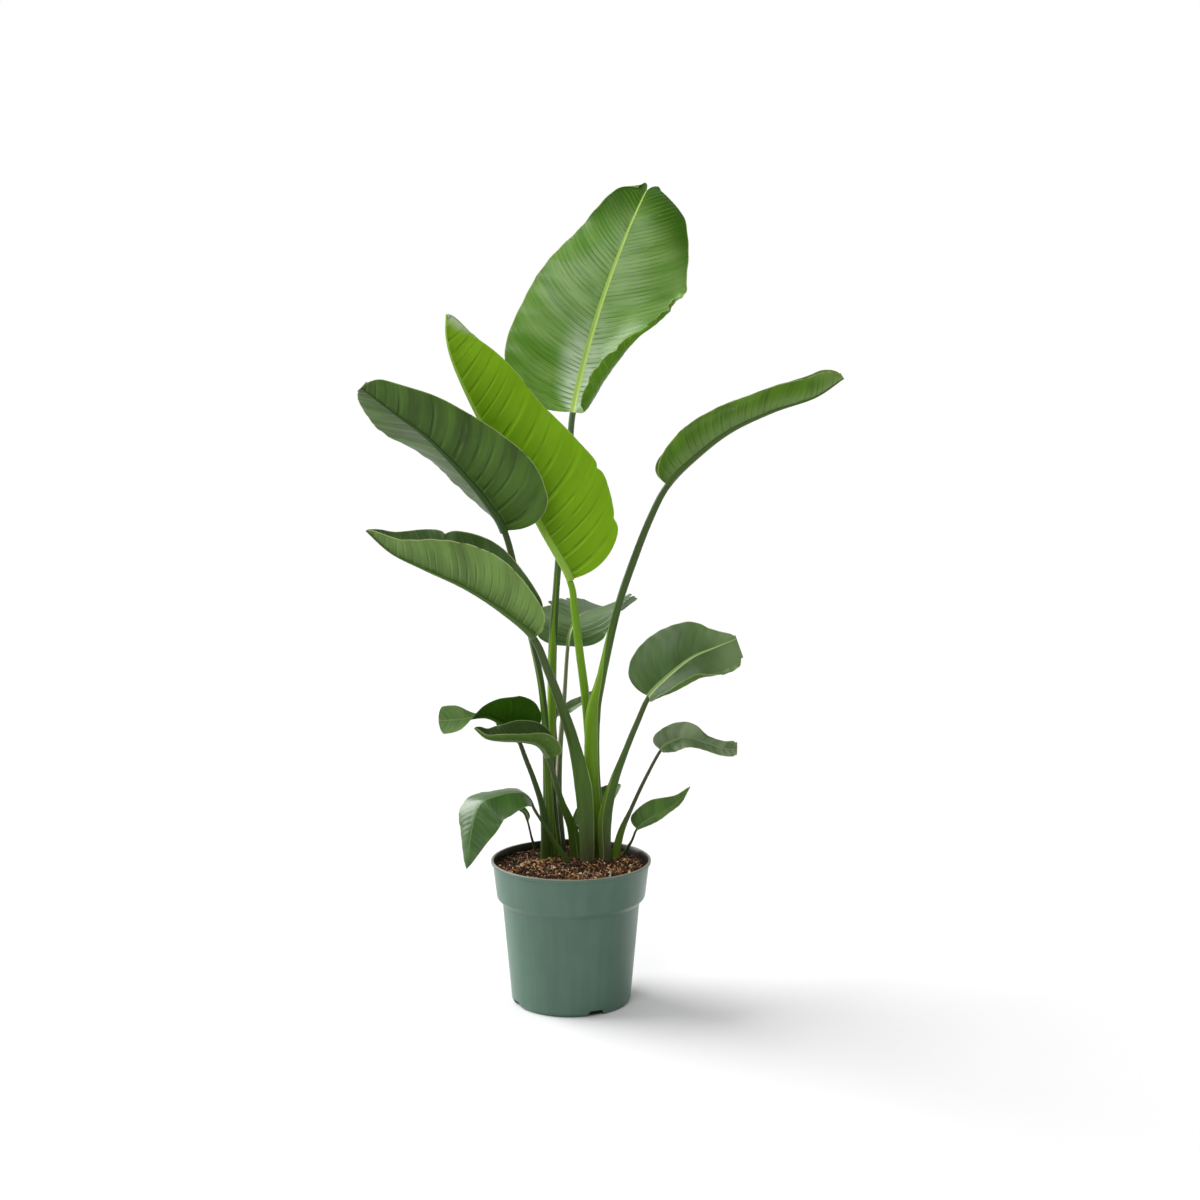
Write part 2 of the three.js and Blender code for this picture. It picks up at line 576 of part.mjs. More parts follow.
// A place on the soil, clear of the stalks and the pot's wall.
function chipPlace(random) {
  const widest = POT_COLLAR_FOOT_RADIUS - 2 * CHIP_LENGTH;
  let place;
  let clear = false;
  while (!clear) {
    const radius = widest * Math.sqrt(random());
    const angle = random() * 2 * Math.PI;
    place = [radius * Math.cos(angle), radius * Math.sin(angle)];
    clear = LEAVES.every(({ foot, wide }) => {
      const distance = Math.hypot(place[0] - foot[0], place[1] - foot[1]);
      return distance > wide[0] + CHIP_LENGTH;
    });
  }
  return place;
}

// A bark chip: a small tilted block, half sunk into the surface.
function chipGeometry(random) {
  const length = CHIP_LENGTH * (0.6 + 0.7 * random());
  const chip = new THREE.BoxGeometry(length, length * 0.55, length * 0.4);
  chip.rotateX((random() - 0.5) * 0.8);
  chip.rotateY((random() - 0.5) * 0.8);
  chip.rotateZ(random() * Math.PI);
  chip.translate(...chipPlace(random), SOIL_LEVEL + 0.5);
  return chip;
}

function makeSoil() {
  const body = weld(turned(soilProfile()));
  const position = body.attributes.position;
  for (let i = 0; i < position.count; i += 1) {
    if (position.getZ(i) > SOIL_LEVEL - 1) {
      const lump = soilRelief(position.getX(i), position.getY(i));
      position.setZ(i, SOIL_LEVEL + lump);
    }
  }
  let solid = toSolid(body);
  const random = seededRandom(11);
  for (let i = 0; i < CHIP_COUNT; i += 1) {
    solid = solid.add(toSolid(chipGeometry(random)));
  }
  for (const leaf of LEAVES) {
    solid = solid.subtract(toSolid(stalkGeometry(leaf, GAP)));
  }
  return paint('soil', fromSolid(solid), 0x5a3a26, 0.95);
}

// ---- Assembly ----
const plant = new THREE.Group();
plant.name = 'potted_bird_of_paradise';
plant.add(makePot());
plant.add(makeSoil());
for (const leaf of LEAVES) {
  plant.add(paint(`stalk_${leaf.name}`, stalkGeometry(leaf), 0x4c7a2f, 0.5));
  plant.add(paint(`blade_${leaf.name}`, bladeGeometry(leaf), leaf.color, 0.45));
}

export default plant;
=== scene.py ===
import math

import bpy
import numpy as np
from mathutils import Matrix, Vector


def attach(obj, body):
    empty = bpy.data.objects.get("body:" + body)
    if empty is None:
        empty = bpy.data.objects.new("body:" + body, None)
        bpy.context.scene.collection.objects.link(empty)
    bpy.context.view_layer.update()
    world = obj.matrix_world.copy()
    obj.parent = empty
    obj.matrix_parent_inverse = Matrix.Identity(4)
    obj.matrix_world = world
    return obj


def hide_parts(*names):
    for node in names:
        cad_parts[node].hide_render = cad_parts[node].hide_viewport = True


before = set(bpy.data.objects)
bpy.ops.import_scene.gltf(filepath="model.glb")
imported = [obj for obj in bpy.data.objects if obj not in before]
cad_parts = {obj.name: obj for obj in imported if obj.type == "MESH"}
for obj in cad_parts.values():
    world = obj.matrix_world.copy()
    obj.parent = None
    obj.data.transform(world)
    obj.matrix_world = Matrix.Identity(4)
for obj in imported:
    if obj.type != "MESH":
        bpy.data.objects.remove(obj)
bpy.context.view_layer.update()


# ---- Camera ----
# A long lens at breast height, 3.2 m in front of the plant and tipped down a little, so that
# the soil shows inside the rim of the pot and the stalks stay upright.
CAMERA_PLACE = (0.046, -3.2, 1.085)
CAMERA_TILT = 7.83
LENS = 62.04
SENSOR_WIDTH = 36


def in_scene(name, data):
    """A new object in the scene, made of a mesh, a light or a camera."""
    thing = bpy.data.objects.new(name, data)
    bpy.context.scene.collection.objects.link(thing)
    return thing


camera = in_scene("camera", bpy.data.cameras.new("camera"))
camera.data.lens = LENS
camera.data.sensor_width = SENSOR_WIDTH
camera.location = CAMERA_PLACE
camera.rotation_euler = (math.radians(90 - CAMERA_TILT), 0, 0)
bpy.context.scene.camera = camera


# ---- Grow pot ----
# A blow-moulded nursery pot of mid-green plastic: a tapering body, a wider collar above a
# soft step, a rolled lip, and four drain notches cut up into the foot of its wall.
MM = 0.001
POT_HEIGHT = 230
LIP_RADIUS = 127
BASE_RADIUS = 95
BODY_TOP_RADIUS = 109
COLLAR_FOOT_RADIUS = 118
COLLAR_TOP_RADIUS = 124
COLLAR_FOOT_HEIGHT = 173
LEDGE_HEIGHT = 162
LIP_FOOT_HEIGHT = 224
POT_WALL = 2.6
POT_FLOOR = 3
CENTRE_RADIUS = 40
EDGE_ROUNDING = 1.5
POT_SIDES = 224

NOTCH_ANGLES = (-65, 25, 115, 205)
NOTCH_FOOT_WIDTH = 34
NOTCH_TOP_WIDTH = 20
NOTCH_HEIGHT = 9
NOTCH_REACH = 20

POT_GREEN = (0.054, 0.12, 0.082)
POT_PALE_GREEN = (0.13, 0.215, 0.17)
# Near-black painted shade for the inside of the pot's wall.
POT_INSIDE_SHADE = (0.012, 0.016, 0.014)
LIP_DUST = (0.33, 0.28, 0.2)


def grid_faces(rows, columns, start=0, closed=False):
    """Four-cornered faces of a grid of points numbered row by row, each row a ring if closed."""
    row = np.arange(rows - 1)[:, None] * columns
    column = np.arange(columns if closed else columns - 1)[None, :]
    after = (column + 1) % columns
    corners = [row + column, row + after, row + columns + after, row + columns + column]
    return np.stack(corners, -1).reshape(-1, 4) + start


def tube_faces(rings, sides):
    """Faces of a tube: a wall through its rings of points, and a cap over each end."""
    caps = [list(range(sides))[::-1], [(rings - 1) * sides + k for k in range(sides)]]
    return grid_faces(rings, sides, closed=True).tolist() + caps


def add_piece(name, points, faces, notes=None, smooth=True):
    """A closed mesh object from points in millimetres. Faces are turned over where the volume
    they enclose, the sum of corner triple products over their first three corners, is negative."""
    points = np.asarray(points, float).reshape(-1, 3)
    first = np.array([face[:3] for face in faces])
    a, b, c = (points[first[:, k]] for k in range(3))
    if np.einsum("ij,ij->i", a, np.cross(b, c)).sum() < 0:
        faces = [face[::-1] for face in faces]
    mesh = bpy.data.meshes.new(name)
    mesh.from_pydata((points * MM).tolist(), [], [list(map(int, face)) for face in faces])
    for note, values in (notes or {}).items():
        values = np.asarray(values, np.float32)
        kind, key = ("FLOAT_VECTOR", "vector") if values.ndim == 2 else ("FLOAT", "value")
        mesh.attributes.new(note, kind, "POINT").data.foreach_set(key, values.ravel())
    if smooth:
        mesh.shade_smooth()
    return in_scene(name, mesh)


def rounded(profile, radius, steps=4):
    """A profile of (radius, height) points with each inner corner replaced by an arc of points:
    a quadratic curve from a corner radius before the corner to a corner radius after it."""
    profile = np.array(profile, float)
    share = np.linspace(0, 1, steps + 1)[:, None]
    line = [profile[:1]]
    for before, corner, after in zip(profile[:-2], profile[1:-1], profile[2:]):
        to_before, to_after = before - corner, after - corner
        reach = min(radius, 0.45 * np.linalg.norm(to_before), 0.45 * np.linalg.norm(to_after))
        start = corner + to_before / np.linalg.norm(to_before) * reach
        end = corner + to_after / np.linalg.norm(to_after) * reach
        line.append((1 - share) ** 2 * start + 2 * share * (1 - share) * corner + share**2 * end)
    line.append(profile[-1:])
    return np.concatenate(line)


def turned(profile, sides):
    """Points of a profile turned about the Z axis: each (radius, height) becomes a ring."""
    angle = np.linspace(0, 2 * math.pi, sides, endpoint=False)[None, :]
    radius, height = profile[:, 0, None], profile[:, 1, None]
    return np.stack([radius * np.cos(angle), radius * np.sin(angle), height + 0 * angle], -1)


pot_profile = rounded([
    (CENTRE_RADIUS, 0),
    (BASE_RADIUS - 4, 0),
    (BASE_RADIUS, 5),
    (BODY_TOP_RADIUS, LEDGE_HEIGHT),
    (COLLAR_FOOT_RADIUS - 1.2, COLLAR_FOOT_HEIGHT - 3),
    (COLLAR_FOOT_RADIUS, COLLAR_FOOT_HEIGHT),
    (COLLAR_TOP_RADIUS, LIP_FOOT_HEIGHT),
    (LIP_RADIUS, LIP_FOOT_HEIGHT + 1),
    (LIP_RADIUS, POT_HEIGHT),
    (COLLAR_TOP_RADIUS - 1, POT_HEIGHT),
    (COLLAR_TOP_RADIUS - POT_WALL, LIP_FOOT_HEIGHT),
    (COLLAR_FOOT_RADIUS - POT_WALL, COLLAR_FOOT_HEIGHT + 1),
    (BODY_TOP_RADIUS - POT_WALL, LEDGE_HEIGHT + 2),
    (BASE_RADIUS - POT_WALL, POT_FLOOR + 3),
    (BASE_RADIUS - POT_WALL - 2, POT_FLOOR),
    (CENTRE_RADIUS, POT_FLOOR),
], EDGE_ROUNDING)
pot = add_piece("grow_pot", turned(pot_profile, POT_SIDES), tube_faces(len(pot_profile), POT_SIDES))


def notch_cutter(angle):
    """A wedge that is wider at its foot, standing across the wall at an angle from +X."""
    inner, outer = BASE_RADIUS - NOTCH_REACH / 2, BASE_RADIUS + NOTCH_REACH / 2
    half_foot, half_top = NOTCH_FOOT_WIDTH / 2, NOTCH_TOP_WIDTH / 2
    side = [(-half_foot, -1), (half_foot, -1), (half_top, NOTCH_HEIGHT), (-half_top, NOTCH_HEIGHT)]
    reach, across, up = np.array([(reach, *corner) for reach in (inner, outer) for corner in side]).T
    turn = math.radians(angle)
    x = reach * math.cos(turn) - across * math.sin(turn)
    y = reach * math.sin(turn) + across * math.cos(turn)
    return add_piece("notch_cutter", np.stack([x, y, up], 1), tube_faces(2, 4), smooth=False)


for angle in NOTCH_ANGLES:
    cutter = notch_cutter(angle)
    cut = pot.modifiers.new("notch", "BOOLEAN")
    cut.operation = "DIFFERENCE"
    cut.solver = "EXACT"
    cut.object = cutter
    with bpy.context.temp_override(object=pot, active_object=pot):
        bpy.ops.object.modifier_apply(modifier=cut.name)
    bpy.data.objects.remove(cutter)
pot.data.set_sharp_from_angle(angle=math.radians(40))


class Signal:
    """What a node puts out. Adding, taking away or multiplying a signal makes one Math node."""

    def __init__(self, socket):
        self.socket = socket

    def __add__(self, other):
        return reckoned("ADD", self, other)

    def __sub__(self, other):
        return reckoned("SUBTRACT", self, other)

    def __mul__(self, other):
        return reckoned("MULTIPLY", self, other)


def wire(source, target):
    """Joins a signal to an input, or gives the input a plain number or colour."""
    if isinstance(source, Signal):
        target.id_data.links.new(source.socket, target)
    elif isinstance(source, tuple):
        target.default_value = (*source, 1)
    else:
        target.default_value = source


def node_fed(kind, *values, places=range(8)):
    """A node in the tree that its signals come from, with values wired to its inputs in order, or
    to the inputs at the places given."""
    tree = next(value.socket.id_data for value in values if isinstance(value, Signal))
    node = tree.nodes.new("ShaderNode" + kind)
    if kind == "Mix":
        node.data_type = "RGBA"
    for value, place in zip(values, places):
        wire(value, node.inputs[place])
    return node


def mixed(share, first, second):
    """A colour between two colours."""
    return Signal(node_fed("Mix", share, first, second, places=(0, 6, 7)).outputs[2])


def reckoned(operation, *values):
    """One arithmetic step on values."""
    node = node_fed("Math", *values)
    node.operation = operation
    return Signal(node.outputs[0])


def stepped(value, low, high, to_low=0.0, to_high=1.0):
    """A value carried smoothly from one range to another, and held at its ends."""
    node = node_fed("MapRange", value, low, high, to_low, to_high)
    node.interpolation_type = "SMOOTHSTEP"
    return Signal(node.outputs[0])


def noise(place, scale, detail=2.0, stretch=(1, 1, 1)):
    """Soft noise between 0 and 1, with a place stretched before it is read."""
    mapping = node_fed("Mapping", place)
    mapping.inputs["Scale"].default_value = stretch
    node = node_fed("TexNoise", Signal(mapping.outputs[0]))
    node.inputs["Scale"].default_value = scale
    node.inputs["Detail"].default_value = detail
    return Signal(node.outputs["Fac"])


def split(vector):
    """The three parts of a vector."""
    return [Signal(part) for part in node_fed("SeparateXYZ", vector).outputs]


def object_place(tree):
    """Where a point lies on its object."""
    return Signal(tree.nodes.new("ShaderNodeTexCoord").outputs["Object"])


def noted(tree, note, kind="Fac"):
    """What a mesh has noted at its points under a name."""
    node = tree.nodes.new("ShaderNodeAttribute")
    node.attribute_name = note
    return Signal(node.outputs[kind])


def bumped(shader, height, strength, distance):
    """Feeds a height in the pattern's own scale to a shader's normal."""
    node = node_fed("Bump", strength, distance, height, places=("Strength", "Distance", "Height"))
    wire(Signal(node.outputs[0]), shader.inputs["Normal"])


def surfaced(shader, colour, roughness, shine):
    """Gives a shader its colour, its roughness and the strength of its shine."""
    wire(colour, shader.inputs["Base Color"])
    wire(roughness, shader.inputs["Roughness"])
    wire(shine, shader.inputs["Specular IOR Level"])


def new_material(name):
    """An empty material, its node tree and its Principled shader."""
    material = bpy.data.materials.new(name)
    material.use_nodes = True
    return material, material.node_tree, material.node_tree.nodes["Principled BSDF"]


def pot_plastic():
    """Green plastic with faint upright streaks, dusty scuffs, a paler lip, and painted shade: a near-black
    inner wall.
    """
    material, tree, shader = new_material("pot_plastic")
    place = object_place(tree)
    x, y, z = split(place)
    streaks = noise(place, 60, 3, stretch=(1, 1, 0.05))
    cloud = noise(place, 9, 4)
    scuff = stepped(noise(place, 120, 5, stretch=(1, 1, 0.4)), 0.6, 0.75)
    colour = mixed(stepped(cloud, 0.35, 0.7, 0.0, 0.22), POT_GREEN, POT_PALE_GREEN)
    colour = mixed(stepped(streaks, 0.4, 0.65, 0.0, 0.12), colour, POT_PALE_GREEN)
    colour = mixed(scuff * 0.12, colour, POT_PALE_GREEN)
    lip = stepped(z, (POT_HEIGHT - 1.4) * MM, (POT_HEIGHT - 0.4) * MM, 0.0, 0.55)
    colour = mixed(lip, colour, LIP_DUST)
    # Painted shade: the inside of the wall, above the collar step, is painted near-black.
    slope = (COLLAR_TOP_RADIUS - COLLAR_FOOT_RADIUS) / (LIP_FOOT_HEIGHT - COLLAR_FOOT_HEIGHT)
    mid_wall = (z - COLLAR_FOOT_HEIGHT * MM) * slope + (COLLAR_FOOT_RADIUS - POT_WALL / 2) * MM
    inside = stepped(reckoned("SQRT", x * x + y * y) - mid_wall, -0.6 * MM, 0.4 * MM, 1.0, 0.0)
    above_step = stepped(z, (COLLAR_FOOT_HEIGHT + 3) * MM, (COLLAR_FOOT_HEIGHT + 7) * MM)
    colour = mixed(inside * above_step, colour, POT_INSIDE_SHADE)
    surfaced(shader, colour, stepped(cloud, 0.3, 0.7, 0.3, 0.42), 0.5)
    bumped(shader, streaks * 0.6 + noise(place, 700, 2), 0.12, 0.6 * MM)
    return material


pot.data.materials.append(pot_plastic())
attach(pot, "root")
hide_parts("pot")


# ---- Potting mix ----
# Brown coir and composted bark, filled to just under the rim and left loose: an uneven bed,
# crumbs and flakes of bark lying on it, a few fibres, and white grains of perlite.
SOIL_LEVEL = 218
SOIL_RELIEF = 2.4
SOIL_GAP = 0.3
BED_RINGS = 90
BED_SIDES = 240
CRUMBS = 5400
FLAKES = 260
GRAINS = 150
FIBRES = 170
FIBRE_RADIUS = 0.45

random = np.random.default_rng(7)


def soil_height(x, y):
    """Low lumps: the sum of two slow waves and three quicker, lower ones, with a low bank of
    mix raked up against the front of the clump."""
    slow = np.sin(x / 9 + 1.3) * np.cos(y / 8) + np.sin(x / 15 - y / 11)
    quick = np.sin(x / 3.1 + y / 5.3) + np.sin(y / 2.7 - x / 6.1) + np.sin(x / 1.9 + y / 2.3 + 2)
    bank = 3.5 * np.exp(-(((x - 15) / 45) ** 2) - ((y - 2) / 13) ** 2)
    return SOIL_RELIEF * slow / 2 + 0.6 * quick + bank


share = (SOIL_LEVEL - COLLAR_FOOT_HEIGHT - 1) / (LIP_FOOT_HEIGHT - COLLAR_FOOT_HEIGHT - 1)
soil_edge = COLLAR_FOOT_RADIUS - POT_WALL + share * (COLLAR_TOP_RADIUS - COLLAR_FOOT_RADIUS) - SOIL_GAP
soil_profile = np.array([
    (30, POT_FLOOR + SOIL_GAP),
    (BASE_RADIUS - POT_WALL - 2 - SOIL_GAP, POT_FLOOR + SOIL_GAP),
    (BASE_RADIUS - POT_WALL - SOIL_GAP, POT_FLOOR + 3),
    (BODY_TOP_RADIUS - POT_WALL - SOIL_GAP, LEDGE_HEIGHT + 2),
    (COLLAR_FOOT_RADIUS - POT_WALL - SOIL_GAP, COLLAR_FOOT_HEIGHT + 1),
    *[(radius, SOIL_LEVEL) for radius in np.linspace(soil_edge, 1, BED_RINGS)],
], float)
soil_rings = turned(soil_profile, BED_SIDES)
top = soil_rings[..., 2] > SOIL_LEVEL - 1
soil_rings[..., 2] += np.where(top, soil_height(soil_rings[..., 0], soil_rings[..., 1]), 0)
soil = add_piece("potting_mix", soil_rings, tube_faces(len(soil_profile), BED_SIDES))


def scattered(count, widest):
    """Random places on the bed, even over its area, as far as a radius from its centre."""
    radius = widest * np.sqrt(random.random(count))
    angle = random.random(count) * 2 * math.pi
    x, y = radius * np.cos(angle), radius * np.sin(angle)
    return np.stack([x, y, SOIL_LEVEL + soil_height(x, y)], 1)


def turns(count, tilt):
    """Random turn matrices: a tilt about two level axes, then any turn about the upright one."""
    a, b = (random.random((2, count)) - 0.5) * 2 * tilt
    c = random.random(count) * 2 * math.pi
    one, zero = np.ones(count), np.zeros(count)
    about_x = np.array([[one, zero, zero], [zero, np.cos(a), -np.sin(a)], [zero, np.sin(a), np.cos(a)]])
    about_y = np.array([[np.cos(b), zero, np.sin(b)], [zero, one, zero], [-np.sin(b), zero, np.cos(b)]])
    about_z = np.array([[np.cos(c), -np.sin(c), zero], [np.sin(c), np.cos(c), zero], [zero, zero, one]])
    return np.einsum("ijn,jkn,kln->nil", about_z, about_y, about_x)


LUMP_CORNERS = np.array([
    (-1, -1, -1), (1, -1, -1), (1, 1, -1), (-1, 1, -1), (-1.25, 0, 0), (0, -1.25, 0),
    (1.25, 0, 0), (0, 1.25, 0), (-0.8, -0.8, 1), (0.8, -0.8, 1), (0.8, 0.8, 1), (-0.8, 0.8, 1),
]) / 2
LUMP_FACES = [
    (3, 2, 1, 0), (8, 9, 10, 11), (0, 1, 5), (1, 2, 6), (2, 3, 7), (3, 0, 4), (0, 5, 8, 4),
    (1, 6, 9, 5), (2, 7, 10, 6), (3, 4, 11, 7), (5, 9, 8), (6, 10, 9), (7, 11, 10), (4, 8, 11),
]


def repeated(faces, count, points):
    """The faces of one small body, numbered on for each of many bodies with as many points."""
    return [[first + k for k in face] for first in range(0, count * points, points) for face in faces]


def lumps(name, count, sizes, tilt, sink, widest, ragged=0.3):
    """Many small lumps in one mesh: a bevelled block, each corner pushed about by a share of
    its size, scaled, turned and set into the bed by a share of its height."""
    places = scattered(count, widest)
    least, most, form = sizes
    scale = least + (most - least) * random.random((count, 1)) ** 2
    scale = scale * np.array(form)
    corners = LUMP_CORNERS[None] + (random.random((count, len(LUMP_CORNERS), 3)) - 0.5) * ragged
    corners = np.einsum("nij,nkj->nki", turns(count, tilt), corners * scale[:, None, :])
    corners += places[:, None, :]
    corners[..., 2] += (0.5 - sink) * scale[:, None, 2]
    tone = np.repeat(random.random(count), len(LUMP_CORNERS))
    faces = repeated(LUMP_FACES, count, len(LUMP_CORNERS))
    return add_piece(name, corners, faces, notes={"tone": tone}, smooth=False)


crumbs = lumps("bark_crumbs", CRUMBS, (1.2, 4.6, (1, 0.75, 0.6)), 0.9, 0.25, soil_edge - 3)
flakes = lumps("bark_flakes", FLAKES, (4, 10, (1, 0.45, 0.2)), 0.5, 0.1, soil_edge - 8)
grains = lumps("perlite", GRAINS, (1.8, 4.2, (1, 0.9, 0.8)), 1.2, 0.2, soil_edge - 5, ragged=0.15)


def fibre_tubes(name, count, sides=4, steps=7):
    """Coir fibres in one mesh: thin four-sided tubes along shallow arcs lying on the bed."""
    start = scattered(count, soil_edge - 22)
    heading = random.random(count) * 2 * math.pi
    bend = (random.random(count) - 0.5) * 2.4
    length = 8 + 16 * random.random(count)
    share = np.linspace(0, 1, steps)[None, :]
    direction = heading[:, None] + bend[:, None] * share
    x = start[:, :1] + np.cumsum(np.cos(direction), 1) * length[:, None] / steps
    y = start[:, 1:2] + np.cumsum(np.sin(direction), 1) * length[:, None] / steps
    hump = np.sin(math.pi * share) * (1 + 2.5 * random.random((count, 1)))
    z = SOIL_LEVEL + soil_height(x, y) + 0.8 + hump
    angle = np.linspace(0, 2 * math.pi, sides, endpoint=False)
    across = np.stack([-np.sin(direction), np.cos(direction)], -1)
    ring = np.cos(angle)[None, None, :, None] * across[:, :, None, :]
    taper = FIBRE_RADIUS * np.clip(4 * np.minimum(share + 0.1, 1.1 - share), 0, 1)[..., None, None]
    level = np.stack([x, y], -1)[:, :, None, :] + ring * taper
    upright = z[:, :, None, None] + np.sin(angle)[None, None, :, None] * taper
    points = np.concatenate([level, upright], -1)
    tone = np.repeat(random.random(count), steps * sides)
    faces = repeated(tube_faces(steps, sides), count, steps * sides)
    return add_piece(name, points, faces, notes={"tone": tone})


fibres = fibre_tubes("coir_fibres", FIBRES)

BARK_DARK = (0.014, 0.007, 0.004)
BARK_RED = (0.13, 0.053, 0.02)
BARK_TAN = (0.7, 0.42, 0.19)
PERLITE_WHITE = (0.8, 0.73, 0.6)
PERLITE_STAIN = (0.4, 0.29, 0.17)


def earth(name, dark, middle, pale, tone_share, patches=1.0):
    """Crumbly matter in three tones: fine noise in the solid, shifted by each lump's own tone
    and by broad noise, for damp and dry patches of the bed."""
    material, tree, shader = new_material(name)
    place = object_place(tree)
    own = (noted(tree, "tone") - 0.5) * tone_share
    damp = (noise(place, 30, 2) - 0.5) * patches
    value = noise(place, 420, 4) + own + damp
    colour = mixed(stepped(value, 0.36, 0.66), dark, middle)
    colour = mixed(stepped(value, 0.88, 1.0), colour, pale)
    # Painted shade: the mix darkens below its surface, to near-black towards the pot's floor, so it shows
    # as a dark hollow through the drain notches.
    colour = mixed(stepped(split(place)[2], 0.02, 0.2), dark, colour)
    surfaced(shader, colour, 0.9, 0.25)
    bumped(shader, noise(place, 900, 3) + noise(place, 250, 2), 0.8, 1.2 * MM)
    return material


bed_earth = earth("bed_earth", BARK_DARK, BARK_RED, BARK_TAN, 0.0)
bark = earth("bark", BARK_DARK, BARK_RED, BARK_TAN, 0.9)
perlite = earth("perlite", PERLITE_STAIN, PERLITE_WHITE, PERLITE_WHITE, 0.3, patches=0.2)
coir = earth("coir", BARK_RED, BARK_TAN, BARK_TAN, 0.5)
for piece, material in (
    (soil, bed_earth), (crumbs, bark), (flakes, bark), (grains, perlite), (fibres, coir),
):
    piece.data.materials.append(material)
    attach(piece, "root")
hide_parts("soil")


# ---- Stalks ----
# The petioles: firm green stalks that rise from the soil as one clump. At its foot each one
# is a sheath that clasps the next, open along one side with a thin pale edge; higher up the
# opening closes to a shallow channel, and the stalk runs on as the midrib of its blade.
STALK_FOOT = 176
JOINT_GAP = 0.3
MOUTH_DEPTH = 0.14
LIP_RISE = 0.045
SPAN_STEPS = 40
LONG_STALK_GRID = (150, 64)
SHORT_STALK_GRID = (90, 44)

